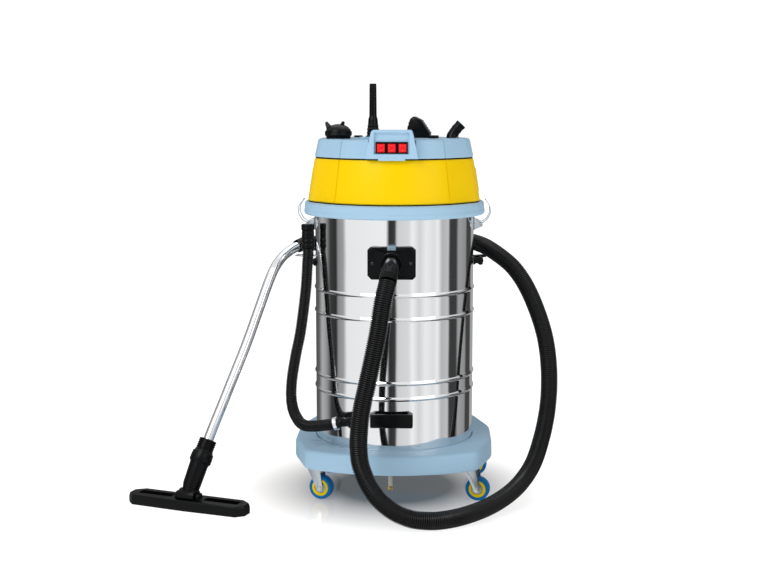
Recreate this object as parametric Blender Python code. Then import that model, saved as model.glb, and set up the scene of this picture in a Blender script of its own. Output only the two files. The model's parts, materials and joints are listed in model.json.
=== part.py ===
"""A wheeled wet and dry drum vacuum cleaner with its hose, wand, floor tool, drain hose and small tools.

Metres, +Z up. The origin is on the floor under the drum's axis, and the machine's front faces -Y.
"""

import math

import bmesh
import bpy
from mathutils import Matrix, Vector

# Clearances and mesh fineness.
GAP = 0.0003  # between faces that rest on each other
SLIP = 0.0008  # around a piece that slides or turns in another
ROUND = 32  # sides of the drum and the head
SMALL_ROUND = 16  # sides of small turned pieces

# Drum.
DRUM_R = 0.220
DRUM_WALL = 0.0015
DRUM_TOP = 0.800
BEAD_HEIGHTS = (0.299, 0.341, 0.513, 0.577)
BEAD_HALF = 0.0065
BEAD_OUT = 0.0032

# Base trolley.
BASE_BOTTOM = 0.107
BASE_TOP = 0.159
WELL_FLOOR = 0.140
BASE_HALF_WIDTH = 0.274
BASE_HALF_DEPTH = 0.282
BASE_CORNER = (0.232, 0.220)
BASE_SIDE_Y = 0.080
BASE_FLOOR = 0.006
BASE_WALL = 0.022
CASTOR_PAD = 0.110

# Castors.
CASTOR_X = 0.215
CASTOR_Y = 0.127
CASTOR_TRAIL = 0.020
WHEEL_R = 0.033
WHEEL_WIDTH = 0.027
RIM_R = 0.0235
AXLE_R = 0.004
LEG_THICK = 0.0025
WHEEL_SIDE_GAP = 0.0015
PLATE_SIZE = 0.058
PLATE_THICK = 0.0035
RACE_R = 0.023
RACE_HEIGHT = 0.006

# Head: lower ring, motor housing and cover share one axis.
RING_R = 0.250
RING_BOTTOM = 0.780
RING_TOP = 0.816
RING_DECK = 0.808
RING_SEAT_HEIGHT = 0.0022
HOUSING_HALF_WIDTH = 0.235
HOUSING_TOP_HALF_WIDTH = 0.217
HOUSING_TOP = 0.9345
COVER_HALF_WIDTH = 0.216
COVER_TOP_HALF_WIDTH = 0.207
COVER_TOP = 0.987
SHELL_WALL = 0.003
SEAM = 0.003  # dark line between two head shells
HEAD_CORNER = (0.755, 0.66)  # where the barrel plan's front arc ends, as shares of the half width
HEAD_SIDE_Y = 0.34

# Switch console.
PANEL_TOP = 1.013
PANEL_BOTTOM = 0.9385
PANEL_TOP_HALF = 0.0535
PANEL_BOTTOM_HALF = 0.0690
PANEL_FRONT = 0.231
PANEL_BACK = 0.170
RECESS_HALF = 0.0465
RECESS_TOP = 1.007
RECESS_BOTTOM = 0.9505
RECESS_DEPTH = 0.009
SWITCH_PITCH = 0.0282
SWITCH_HALF_WIDTH = 0.0135
SWITCH_CENTRE_Z = 0.9675
SWITCH_HALF_HEIGHT = 0.0150
ROCKER_HALF_WIDTH = 0.0100
ROCKER_HALF_HEIGHT = 0.0112
ROCKER_TILT = math.radians(8)

# Motors, float and filter.
MOTOR_CIRCLE = 0.112
MOTOR_R = 0.060
MOTOR_HEIGHT = 0.095
FLOAT_CAGE_R = 0.042
FLOAT_CAGE_HEIGHT = 0.100
FLOAT_R = 0.026
BAG_R = 0.165
BAG_BOTTOM = 0.560
BAG_WALL = 0.003

# Inlet, hoses and wand.
INLET_Z = 0.666
INLET_HALF = (0.0635, 0.043)
INLET_DEPTH = 0.0150
COLLAR_R = 0.031
COLLAR_OUT = 0.040
HOSE_R = 0.0235
CUFF_R = 0.0225
DRAIN_HOSE_R = 0.0155
DRAIN_SPOT = math.radians(241)  # azimuth of the outlet on the drum, from +X
DRAIN_Z = 0.236
DRAIN_TIP = (-0.1420, -0.2215, 0.2350)  # end of the outlet elbow, where the hose begins
DRAIN_TOP = (-0.2335, -0.0830, 0.6900)  # where the hose meets its upper cuff
SPIGOT_R = 0.0125
WAND_R = 0.014
WAND_WALL = 0.0015

# Floor tool.
TOOL_CENTRE = (-0.5475, -0.2319)
TOOL_TURN = math.radians(-19.5)
TOOL_LENGTH = 0.356
TOOL_WIDTH = 0.070
TOOL_HEIGHT = 0.036
TOOL_HINGE_Z = 0.031
TOOL_TROUGH = 0.0265
BARREL_R = 0.0220
WAND_PLANE = math.radians(49.3)  # plan direction in which the wand leans back
NECK_R = 0.0245

# Latches.
LATCH_PIVOT = (0.2380, 0.7520)
LATCH_WIRE_R = 0.0015
LATCH_HALF = 0.025

# Small tools on the deck.
NOZZLE_SPOT = (-0.064, 0.097)
NOZZLE_HEIGHT = 0.150
BRUSH_SPOT = (-0.150, -0.068)
UPHOLSTERY_SPOT = (0.064, 0.030)
ADAPTER_SPOT = (0.166, 0.015)

# The suction hose's route, from the inlet elbow over the floor and behind the drum to the wand.
SUCTION_ROUTE = [
    (-0.0079, -0.3356, 0.622),
    (-0.018, -0.351, 0.580),
    (-0.0295, -0.3665, 0.507),
    (-0.0443, -0.377, 0.432),
    (-0.058, -0.383, 0.368),
    (-0.0705, -0.388, 0.310),
    (-0.077, -0.3934, 0.2537),
    (-0.078, -0.396, 0.209),
    (-0.072, -0.399, 0.166),
    (-0.056, -0.403, 0.126),
    (-0.031, -0.406, 0.087),
    (0.005, -0.410, 0.055),
    (0.051, -0.413, 0.034),
    (0.105, -0.405, 0.0255),
    (0.156, -0.384, 0.0245),
    (0.208, -0.344, 0.026),
    (0.262, -0.290, 0.032),
    (0.312, -0.233, 0.046),
    (0.352, -0.179, 0.068),
    (0.385, -0.135, 0.106),
    (0.4083, -0.0987, 0.162),
    (0.4248, -0.068, 0.2255),
    (0.4327, -0.0427, 0.291),
    (0.4326, -0.0127, 0.364),
    (0.4226, 0.017, 0.436),
    (0.3997, 0.0461, 0.508),
    (0.3696, 0.0749, 0.5725),
    (0.3334, 0.0985, 0.621),
    (0.2855, 0.1216, 0.6575),
    (0.2460, 0.1480, 0.6775),
    (0.2040, 0.1880, 0.6820),
    (0.1560, 0.2320, 0.6600),
    (0.1020, 0.2680, 0.6180),
    (0.0400, 0.2880, 0.5830),
    (-0.0240, 0.2920, 0.5710),
    (-0.0880, 0.2790, 0.5830),
    (-0.1440, 0.2480, 0.6130),
    (-0.1880, 0.2060, 0.6500),
]
SUCTION_END = (-0.2170, 0.1600, 0.6770)
DRAIN_ROUTE = [
    (-0.2352, -0.0905, 0.640),
    (-0.2390, -0.0990, 0.576),
    (-0.2525, -0.1105, 0.467),
    (-0.2655, -0.1210, 0.400),
    (-0.2758, -0.1315, 0.332),
    (-0.2763, -0.1435, 0.279),
    (-0.2630, -0.1640, 0.240),
    (-0.2330, -0.1890, 0.2185),
]
WAND_ROUTE = [
    (0.0885, 0.2045),
    (0.1216, 0.2607),
    (0.1663, 0.3380),
    (0.2115, 0.4165),
    (0.2497, 0.4900),
    (0.2845, 0.5580),
    (0.3038, 0.5940),
    (0.3232, 0.6235),
    (0.3503, 0.6500),
    (0.3814, 0.6670),
    (0.4088, 0.6767),
    (0.4324, 0.6821),
]


def clear_scene():
    for obj in list(bpy.data.objects):
        bpy.data.objects.remove(obj, do_unlink=True)


def finish(name, hex_colour, roughness, metallic=0.0):
    """A Principled material with an sRGB hex colour."""
    mat = bpy.data.materials.new(name)
    mat.use_nodes = True
    linear = []
    for i in (0, 2, 4):
        c = int(hex_colour[i : i + 2], 16) / 255
        linear.append(c / 12.92 if c <= 0.04045 else ((c + 0.055) / 1.055) ** 2.4)
    shader = mat.node_tree.nodes["Principled BSDF"]
    shader.inputs["Base Color"].default_value = (*linear, 1)
    shader.inputs["Roughness"].default_value = roughness
    shader.inputs["Metallic"].default_value = metallic
    return mat


# --- Mesh helpers -----------------------------------------------------------


def turned(profile, segments=ROUND, ring=False):
    """A solid of revolution about Z through (radius, height) points. A ring's profile closes on itself."""
    bm = bmesh.new()
    points = [bm.verts.new((r, 0, z)) for r, z in profile]
    pairs = list(zip(points, points[1:]))
    if ring:
        pairs.append((points[-1], points[0]))
    edges = [bm.edges.new(pair) for pair in pairs]
    bmesh.ops.spin(
        bm, geom=points + edges, cent=(0, 0, 0), axis=(0, 0, 1), angle=math.tau, steps=segments
    )
    bmesh.ops.remove_doubles(bm, verts=bm.verts, dist=1e-6)
    bmesh.ops.recalc_face_normals(bm, faces=bm.faces)
    return bm


def lofted(outlines, ring=False):
    """A closed solid through outlines of equal length. A ring joins the last outline back to the first."""
    bm = bmesh.new()
    loops = [[bm.verts.new(point) for point in outline] for outline in outlines]
    pairs = list(zip(loops, loops[1:]))
    if ring:
        pairs.append((loops[-1], loops[0]))
    else:
        bm.faces.new(loops[0])
        bm.faces.new(loops[-1])
    count = len(loops[0])
    for low, high in pairs:
        for i in range(count):
            j = (i + 1) % count
            bm.faces.new((low[i], low[j], high[j], high[i]))
    bmesh.ops.recalc_face_normals(bm, faces=bm.faces)
    return bm


def cylinder(radius, low, high, segments=SMALL_ROUND):
    return turned([(0, low), (radius, low), (radius, high), (0, high)], segments)


def tube_ring(outer, inner, low, high, segments=SMALL_ROUND):
    return turned([(inner, low), (outer, low), (outer, high), (inner, high)], segments, ring=True)


def box(low, high, bevel=0.0, steps=2):
    """A box between two corners, its edges rounded by bevel."""
    bm = bmesh.new()
    bmesh.ops.create_cube(bm, size=1)
    low, high = Vector(low), Vector(high)
    for vert in bm.verts:
        vert.co = Vector([l if c < 0 else h for c, l, h in zip(vert.co, low, high)])
    if bevel:
        bmesh.ops.bevel(
            bm, geom=bm.edges[:], offset=bevel, segments=steps, affect="EDGES", profile=0.5
        )
    return bm


def prism(outline, low, high, axis="Z"):
    """A flat outline extruded from low to high along axis. The outline is (x, y), or (x, z) along Y."""
    if axis == "Z":
        layers = [[(a, b, h) for a, b in outline] for h in (low, high)]
    else:
        layers = [[(a, h, b) for a, b in outline] for h in (low, high)]
    return lofted(layers)


def moved(bm, matrix):
    bmesh.ops.transform(bm, matrix=matrix, verts=bm.verts)
    if matrix.determinant() < 0:
        bmesh.ops.reverse_faces(bm, faces=bm.faces)
    return bm


def shift(x, y, z):
    return Matrix.Translation((x, y, z))


def turn_z(angle):
    return Matrix.Rotation(angle, 4, "Z")


def aim(direction):
    """The rotation that takes +Z to direction."""
    return Vector(direction).to_track_quat("Z", "Y").to_matrix().to_4x4()


def smooth_line(points, count):
    """count points on a smooth curve through the given ones, evenly spaced along it."""
    pts = [Vector(p) for p in points]
    pts = [2 * pts[0] - pts[1], *pts, 2 * pts[-1] - pts[-2]]
    fine = []
    for a, b, c, d in zip(pts, pts[1:], pts[2:], pts[3:]):
        for i in range(16):
            t = i / 16
            fine.append(
                0.5 * ((2 * b) + (c - a) * t + (2 * a - 5 * b + 4 * c - d) * t**2
                       + (3 * b - a - 3 * c + d) * t**3)
            )
    fine.append(pts[-2])
    runs = [0.0]
    for a, b in zip(fine, fine[1:]):
        runs.append(runs[-1] + (b - a).length)
    line, k = [], 0
    for i in range(count):
        want = runs[-1] * i / (count - 1)
        while k < len(runs) - 2 and runs[k + 1] < want:
            k += 1
        share = (want - runs[k]) / (runs[k + 1] - runs[k])
        line.append(fine[k].lerp(fine[k + 1], share))
    return line


def squared(line, start=None, end=None):
    """The line with its first and last stretch turned to run along the given headings."""
    if start is not None:
        line[1] = line[0] + start * (line[1] - line[0]).length
    if end is not None:
        line[-2] = line[-1] - end * (line[-1] - line[-2]).length
    return line


def swept(points, radii, segments=16, bore=None):
    """A round bar, or a pipe when bore is given, through points with a radius at each."""
    points = [Vector(p) for p in points]
    tangents = []
    for i, p in enumerate(points):
        ahead = points[min(i + 1, len(points) - 1)]
        behind = points[max(i - 1, 0)]
        tangents.append((ahead - behind).normalized())
    side = tangents[0].orthogonal().normalized()
    outer, inner = [], []
    for i, (p, t) in enumerate(zip(points, tangents)):
        if i:
            side = tangents[i - 1].rotation_difference(t) @ side
        other = t.cross(side)
        ring = [
            side * math.cos(math.tau * k / segments) + other * math.sin(math.tau * k / segments)
            for k in range(segments)
        ]
        outer.append([p + v * radii[i] for v in ring])
        if bore is not None:
            inner.append([p + v * bore[i] for v in ring])
    if bore is None:
        return lofted(outer)
    return lofted(outer + inner[::-1], ring=True)


def barrel_plan(half_width, half_depth, corner, side_y, rounding=0.18):
    """A plan with a bowed front and back, chamfered corners and straight sides, the corners eased."""
    sag = half_depth - corner[1]
    arc_r = (corner[0] ** 2 + sag**2) / (2 * sag)
    sweep = math.asin(corner[0] / arc_r)
    front = []
    for k in range(7):
        angle = sweep * (k / 3 - 1)
        front.append((arc_r * math.sin(angle), -half_depth + arc_r * (1 - math.cos(angle)), k in (0, 6)))
    right = [(half_width, -side_y, True), (half_width, side_y, True)]
    back = [(-x, -y, c) for x, y, c in front]
    left = [(-x, -y, c) for x, y, c in right]
    raw = front + right + back + left
    plan = []
    for i, (x, y, corner_here) in enumerate(raw):
        if not corner_here:
            plan.append((x, y))
            continue
        here = Vector((x, y))
        ends = []
        for other in (raw[i - 1], raw[(i + 1) % len(raw)]):
            away = Vector(other[:2]) - here
            ends.append(here + away * min(rounding, 0.45))
        for t in (0.0, 0.5, 1.0):
            point = ends[0] * (1 - t) ** 2 + here * 2 * t * (1 - t) + ends[1] * t**2
            plan.append((point.x, point.y))
    return plan


def scaled_plan(plan, share, z):
    return [(x * share, y * share, z) for x, y in plan]


# --- Object helpers ---------------------------------------------------------


def add(name, bm, material, at=(0, 0, 0), parent=None, turn=0.0):
    """An object from a bmesh whose origin is at `at`. The bmesh is given around that origin."""
    mesh = bpy.data.meshes.new(name)
    bm.to_mesh(mesh)
    bm.free()
    mesh.shade_smooth()
    mesh.set_sharp_from_angle(angle=math.radians(35))
    return add_mesh(name, mesh, material, at, parent, turn)


def add_mesh(name, mesh, material, at=(0, 0, 0), parent=None, turn=0.0):
    obj = bpy.data.objects.new(name, mesh)
    bpy.context.scene.collection.objects.link(obj)
    obj.location = at
    obj.rotation_euler.z = turn
    obj.parent = parent
    if not mesh.materials:
        mesh.materials.append(material)
    return obj


def helper(name, bm, parent):
    mesh = bpy.data.meshes.new(name)
    bm.to_mesh(mesh)
    bm.free()
    obj = bpy.data.objects.new(name, mesh)
    bpy.context.scene.collection.objects.link(obj)
    obj.parent = parent
    obj.hide_render = True
    obj.display_type = "WIRE"
    return obj


def combine(obj, bm, operation="DIFFERENCE"):
    """Cuts bm from obj, or joins it on. bm is given around obj's origin."""
    tool = helper(f"{obj.name}_{operation.lower()}_{len(obj.modifiers)}", bm, obj)
    modifier = obj.modifiers.new(tool.name, "BOOLEAN")
    modifier.object = tool
    modifier.operation = operation
    modifier.solver = "MANIFOLD"
    return obj


def join(obj, bm):
    return combine(obj, bm, "UNION")


def applied(obj):
    """Replaces an object and its helpers by the mesh that its modifiers give."""
    bpy.context.view_layer.update()
    graph = bpy.context.evaluated_depsgraph_get()
    mesh = bpy.data.meshes.new_from_object(obj.evaluated_get(graph))
    for tool in [m.object for m in obj.modifiers]:
        bpy.data.objects.remove(tool, do_unlink=True)
    bpy.data.objects.remove(obj, do_unlink=True)
    return mesh


def empty(name, at, parent=None):
    obj = bpy.data.objects.new(name, None)
    bpy.context.scene.collection.objects.link(obj)
    obj.location = at
    obj.parent = parent
    return obj


def hose(name, points, radius, material):
    """A plain flexible hose: a polyline curve with a round bevel and filled ends."""
    curve = bpy.data.curves.new(name, "CURVE")
    curve.dimensions = "3D"
    curve.bevel_depth = radius
    curve.bevel_resolution = 2
    curve.use_fill_caps = True
    line = curve.splines.new("POLY")
    line.points.add(len(points) - 1)
    for point, place in zip(line.points, points):
        point.co = (*place, 1)
    curve.materials.append(material)
    obj = bpy.data.objects.new(name, curve)
    bpy.context.scene.collection.objects.link(obj)
    return obj


# --- Finishes ---------------------------------------------------------------

clear_scene()
STEEL = finish("polished_stainless", "D9DBDC", 0.08, 1.0)
ZINC = finish("bright_zinc", "B9C2C8", 0.3, 1.0)
CHROME = finish("chrome_plate", "E4E6E8", 0.06, 1.0)
BLUE = finish("pale_blue_moulding", "A9CDE6", 0.35)
YELLOW = finish("yellow_moulding", "FFDC0F", 0.32)
BLACK = finish("black_moulding", "15171A", 0.42)
RUBBER = finish("black_rubber", "1B1C1E", 0.7)
TYRE_BLUE = finish("blue_tyre", "0E78BE", 0.5)
RIM_YELLOW = finish("yellow_rim", "FFE014", 0.4)
RED = finish("red_rocker", "F01018", 0.3)
CLOTH = finish("filter_cloth", "D8D4C8", 0.9)
WHITE = finish("white_moulding", "E8E8E4", 0.5)
STRAP = finish("earth_strap", "C9CBC8", 0.5)


# --- Base trolley and its castors -------------------------------------------


def build_base():
    plan = barrel_plan(BASE_HALF_WIDTH, BASE_HALF_DEPTH, BASE_CORNER, BASE_SIDE_Y)
    levels = [
        (BASE_BOTTOM, 0.994),
        (BASE_BOTTOM + 0.004, 1.0),
        (BASE_TOP - 0.010, 0.996),
        (BASE_TOP - 0.003, 0.985),
        (BASE_TOP, 0.965),
    ]
    base = add("base", lofted([scaled_plan(plan, share, z) for z, share in levels]), BLUE)
    combine(base, cylinder(DRUM_R + SLIP, WELL_FLOOR, BASE_TOP + 0.01, ROUND))
    # The underside is hollow, except for the four pads that the castors bolt to.
    reach_x = BASE_HALF_WIDTH - BASE_WALL
    reach_y = BASE_CORNER[1] - BASE_WALL
    pad_x = CASTOR_X - CASTOR_PAD / 2
    pad_y = CASTOR_Y - CASTOR_PAD / 2
    quarter = [(reach_x, -pad_y), (reach_x, pad_y), (pad_x, pad_y), (pad_x, reach_y)]
    cross = quarter + [(-pad_x, reach_y), (-pad_x, pad_y)]
    cross += [(-reach_x, pad_y), (-reach_x, -pad_y), (-pad_x, -pad_y), (-pad_x, -reach_y)]
    cross += [(pad_x, -reach_y), (pad_x, -pad_y)]
    combine(base, prism(cross, BASE_BOTTOM - 0.01, WELL_FLOOR - BASE_FLOOR))
    return base


def castor_plate_mesh():
    """The bolt-on plate with the upper race hanging under it; its top is at height 0."""
    half = PLATE_SIZE / 2
    plate = add("castor_plate", box((-half, -half, -PLATE_THICK), (half, half, 0), 0.0012, 1), ZINC)
    join(
        plate,
        turned(
            [
                (0, -PLATE_THICK / 2),
                (RACE_R, -PLATE_THICK / 2),
                (RACE_R, -PLATE_THICK - RACE_HEIGHT * 0.4),
                (RACE_R - 0.003, -PLATE_THICK - RACE_HEIGHT),
                (0, -PLATE_THICK - RACE_HEIGHT),
            ]
        , SMALL_ROUND),
    )
    return applied(plate)


def castor_fork_mesh(top):
    """The fork with its axle bolt, around the swivel axis. top is the height of its crown."""
    legs_half = WHEEL_WIDTH / 2 + WHEEL_SIDE_GAP
    crown_low = top - 0.005
    crown_half = 0.019
    fork = add("castor_fork", cylinder(RACE_R - 0.001, crown_low, top, 12), ZINC)
    join(fork, box((-crown_half, -legs_half - LEG_THICK, crown_low - 0.001), (crown_half, legs_half + LEG_THICK, top - 0.0015)))
    foot_r = 0.0095
    outline = [(-crown_half, top - 0.0025), (crown_half, top - 0.0025), (crown_half + 0.003, top - 0.014)]
    for k in range(5):
        angle = math.radians(20 - 52 * k)
        outline.append((CASTOR_TRAIL + foot_r * math.cos(angle), WHEEL_R + foot_r * math.sin(angle)))
    for side in (-1, 1):
        near = side * legs_half
        far = side * (legs_half + LEG_THICK)
        join(fork, prism(outline, min(near, far), max(near, far), "Y"))
    bolt = cylinder(AXLE_R, -legs_half - 0.006, legs_half + 0.006, 10)
    join(fork, moved(bolt, shift(CASTOR_TRAIL, 0, WHEEL_R) @ Matrix.Rotation(math.pi / 2, 4, "X")))
    for side in (-1, 1):
        head = cylinder(0.0065, legs_half + LEG_THICK - 0.0005, legs_half + LEG_THICK + 0.0035, 6)
        spin = Matrix.Rotation(side * math.pi / 2, 4, "X")
        join(fork, moved(head, shift(CASTOR_TRAIL, 0, WHEEL_R) @ spin))
    return applied(fork)


def wheel_mesh(name, profile, material, segments=20):
    bm = moved(turned(profile, segments, ring=True), Matrix.Rotation(math.pi / 2, 4, "X"))
    obj = add(name, bm, material)
    return applied(obj)


def build_castors():
    plate_top = BASE_BOTTOM - GAP
    fork_top = plate_top - PLATE_THICK - RACE_HEIGHT - GAP
    half = WHEEL_WIDTH / 2
    tyre_inner = RIM_R + GAP
    plate_mesh = castor_plate_mesh()
    fork_mesh = castor_fork_mesh(fork_top)
    tyre_mesh = wheel_mesh(
        "tyre",
        [
            (tyre_inner, -half + 0.001),
            (WHEEL_R - 0.004, -half),
            (WHEEL_R, -half + 0.006),
            (WHEEL_R, half - 0.006),
            (WHEEL_R - 0.004, half),
            (tyre_inner, half - 0.001),
        ],
        TYRE_BLUE,
    )
    rim_mesh = wheel_mesh(
        "rim",
        [
            (AXLE_R + SLIP, -half),
            (0.014, -half + 0.001),
            (RIM_R, -half + 0.0015),
            (RIM_R, half - 0.0015),
            (0.014, half - 0.001),
            (AXLE_R + SLIP, half),
        ],
        RIM_YELLOW,
    )
    corners = {
        "front_left": (-CASTOR_X, -CASTOR_Y, math.radians(-18)),
        "front_right": (CASTOR_X, -CASTOR_Y, math.radians(-12)),
        "rear_left": (-CASTOR_X, CASTOR_Y, math.radians(12)),
        "rear_right": (CASTOR_X, CASTOR_Y, math.radians(-5)),
    }
    for corner, (x, y, turn) in corners.items():
        add_mesh(f"castor_plate_{corner}", plate_mesh, ZINC, (x, y, plate_top))
        fork = add_mesh(f"castor_fork_{corner}", fork_mesh, ZINC, (x, y, 0), turn=turn)
        axle = (CASTOR_TRAIL, 0, WHEEL_R)
        add_mesh(f"castor_rim_{corner}", rim_mesh, RIM_YELLOW, axle, fork)
        add_mesh(f"castor_tyre_{corner}", tyre_mesh, TYRE_BLUE, axle, fork)


def build_earth_strap():
    top = WELL_FLOOR - BASE_FLOOR - GAP
    add("earth_strap", box((-0.010, -0.1935, 0.044), (0.002, -0.1905, top), 0.0008, 1), STRAP)


# --- Drum and what is fixed to it -------------------------------------------


def drum_cutter(radius=DRUM_R + GAP, low=0.0, high=1.2):
    return cylinder(radius, low, high, ROUND)


def build_drum():
    low = WELL_FLOOR + GAP
    profile = [(0, low), (DRUM_R - 0.012, low), (DRUM_R - 0.003, low + 0.004), (DRUM_R, low + 0.011)]
    for z in BEAD_HEIGHTS:
        profile += [(DRUM_R, z - BEAD_HALF), (DRUM_R + BEAD_OUT, z), (DRUM_R, z + BEAD_HALF)]
    inner = DRUM_R - DRUM_WALL
    profile += [(DRUM_R, DRUM_TOP), (inner, DRUM_TOP), (inner, low + 0.011)]
    profile += [(inner - 0.011, low + DRUM_WALL), (0, low + DRUM_WALL)]
    drum = add("drum", turned(profile), STEEL)
    hole = moved(cylinder(CUFF_R + 0.004, 0.15, 0.26), Matrix.Rotation(math.pi / 2, 4, "X"))
    combine(drum, moved(hole, shift(0, 0, INLET_Z)))
    outlet = moved(cylinder(SPIGOT_R + 0.001, 0.15, 0.26), aim((1, 0, 0)))
    place = shift(0, 0, DRAIN_Z) @ turn_z(DRAIN_SPOT)
    combine(drum, moved(outlet, place))
    seal = tube_ring(DRUM_R + 0.0022, DRUM_R - 0.010, DRUM_TOP + GAP, RING_DECK - GAP, ROUND)
    add("drum_seal", seal, RUBBER)


def build_inlet():
    """The inlet plate screwed to the drum, its collar and the latch button that holds the hose cuff."""
    half_x, half_z = INLET_HALF
    front = DRUM_R + INLET_DEPTH
    c = 0.008
    outline = [
        (-half_x + 1.3 * c, -half_z),
        (half_x - c, -half_z),
        (half_x, -half_z + c),
        (half_x, half_z - c),
        (half_x - c, half_z),
        (-half_x + c, half_z),
        (-half_x, half_z - c),
        (-half_x, -half_z + 1.3 * c),
    ]
    layers = []
    for y, share in ((-0.190, 1.0), (-front + 0.004, 1.0), (-front, 0.94)):
        layers.append([(x * share, y, INLET_Z + z * share) for x, z in outline])
    plate = add("inlet_plate", lofted(layers), BLACK)
    collar = cylinder(COLLAR_R, front - 0.004, DRUM_R + COLLAR_OUT, 24)
    upright = shift(0, 0, INLET_Z) @ Matrix.Rotation(math.pi / 2, 4, "X")
    combine(plate, drum_cutter())
    join(plate, moved(collar, upright))
    combine(plate, moved(cylinder(CUFF_R + SLIP, 0.18, 0.30, 24), upright))
    button_z = INLET_Z + half_z - 0.0025
    slot_half = (0.0115, 0.0065)
    combine(
        plate,
        box(
            (-slot_half[0] - SLIP, -front - 0.01, button_z - slot_half[1] - SLIP),
            (slot_half[0] + SLIP, -front + 0.009, INLET_Z + half_z + 0.01),
        ),
    )
    add(
        "inlet_latch",
        box(
            (-slot_half[0], -0.0045, -slot_half[1]),
            (slot_half[0], 0.0015, slot_half[1]),
            0.0015,
            1,
        ),
        ZINC,
        (0, -front + 0.0035, button_z),
    )


def build_drum_handle():
    """The moulded pull low on the drum's front, with a finger slot along its top."""
    x, low, high, out = 0.0570, 0.2250, 0.2630, 0.0200
    bm = box((-x, -DRUM_R - out, low), (x, -0.200, high), 0.004, 2)
    handle = add("drum_handle", bm, BLACK)
    combine(handle, drum_cutter())
    slot = box((-x + 0.012, -DRUM_R - out + 0.005, low + 0.019), (x - 0.012, -0.190, high + 0.02), 0.002, 1)
    combine(handle, slot)


def build_pegs():
    """Round-ended pegs on the drum's sides, which small tools and the cable hang from."""
    for name, angle, z in (("peg_right", 0.0, 0.648), ("peg_left", math.pi, 0.642)):
        foot = DRUM_R + GAP
        profile = [(0, foot - 0.010), (0.0115, foot - 0.010), (0.0115, foot + 0.004), (0.008, foot + 0.006)]
        profile += [(0.008, foot + 0.012), (0.0125, foot + 0.018), (0.011, foot + 0.025), (0, foot + 0.028)]
        bm = moved(turned(profile, 16), aim((1, 0, 0)))
        peg = add(name, moved(bm, shift(0, 0, z) @ turn_z(angle)), BLACK)
        combine(peg, drum_cutter())


def build_hose_hook():
    """The bracket behind the right side that the suction hose rests in."""
    angle = math.radians(31.5)
    foot = DRUM_R - 0.010
    place = turn_z(angle)
    low = 0.6400
    hook = add("hose_hook", moved(box((foot, -0.015, low), (DRUM_R + 0.009, 0.015, 0.732), 0.002, 1), place), BLACK)
    arm = box((foot + 0.004, -0.010, low + 0.0005), (0.300, 0.010, low + 0.0075))
    join(hook, moved(arm, place))
    tip = box((DRUM_R + 0.002, -0.0135, 0.716), (DRUM_R + 0.022, 0.0135, 0.7305), 0.003, 1)
    join(hook, moved(tip, place))
    combine(hook, drum_cutter())


def build_wand_hook():
    """The plated bracket on the left that the wand leans on."""
    angle = math.radians(166)
    place = turn_z(angle)
    low = 0.6545
    hook = add("wand_hook", moved(box((DRUM_R - 0.010, -0.014, low - 0.020), (DRUM_R + 0.003, 0.014, low + 0.014)), place), CHROME)
    join(hook, moved(box((DRUM_R, -0.0135, low - 0.0035), (0.290, 0.0135, low)), place))
    combine(hook, drum_cutter())


def build_latches():
    """A folded catch plate on the drum and a wire bail over the head ring, one on each side."""
    pivot_x, pivot_z = LATCH_PIVOT
    ear = (0.0180, 0.0215)
    pin = ear[0] - 0.0030
    for name, angle in (("left", math.pi), ("right", 0.0)):
        place = turn_z(angle)
        back = box((DRUM_R - 0.010, -ear[1] - 0.001, 0.735), (DRUM_R + 0.003, ear[1] + 0.001, 0.768))
        catch = add(f"latch_catch_{name}", moved(back, place), ZINC)
        for side in (-1, 1):
            low, high = sorted((side * ear[0], side * ear[1]))
            lug = prism(
                [(DRUM_R + 0.001, 0.7355), (0.2445, 0.7455), (0.2445, 0.7575), (DRUM_R + 0.001, 0.7675)],
                low,
                high,
                "Y",
            )
            join(catch, moved(lug, place))
            hole = moved(cylinder(LATCH_WIRE_R + SLIP, -0.03, 0.03, 12), aim((0, 1, 0)))
            if side == 1:
                combine(catch, moved(hole, place @ shift(pivot_x, 0, pivot_z)))
        combine(catch, drum_cutter())
        # The wire runs from one pin, up and over the ring, and back to the other.
        leg = [(0, 0), (0.018, 0.012), (0.0275, 0.030), (0.0255, 0.050), (0.0145, 0.0665)]
        one = [(x, LATCH_HALF, z) for x, z in leg]
        path = [(0, pin, 0), (0, LATCH_HALF - 0.002, 0)] + one[1:]
        path += [(x, -y, z) for x, y, z in path[::-1]]
        wire = swept(path, [LATCH_WIRE_R] * len(path), 8)
        add(f"latch_bail_{name}", moved(wire, place), CHROME, turn_z(angle) @ Vector((pivot_x, 0, pivot_z)))


# --- Drain ------------------------------------------------------------------


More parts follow.
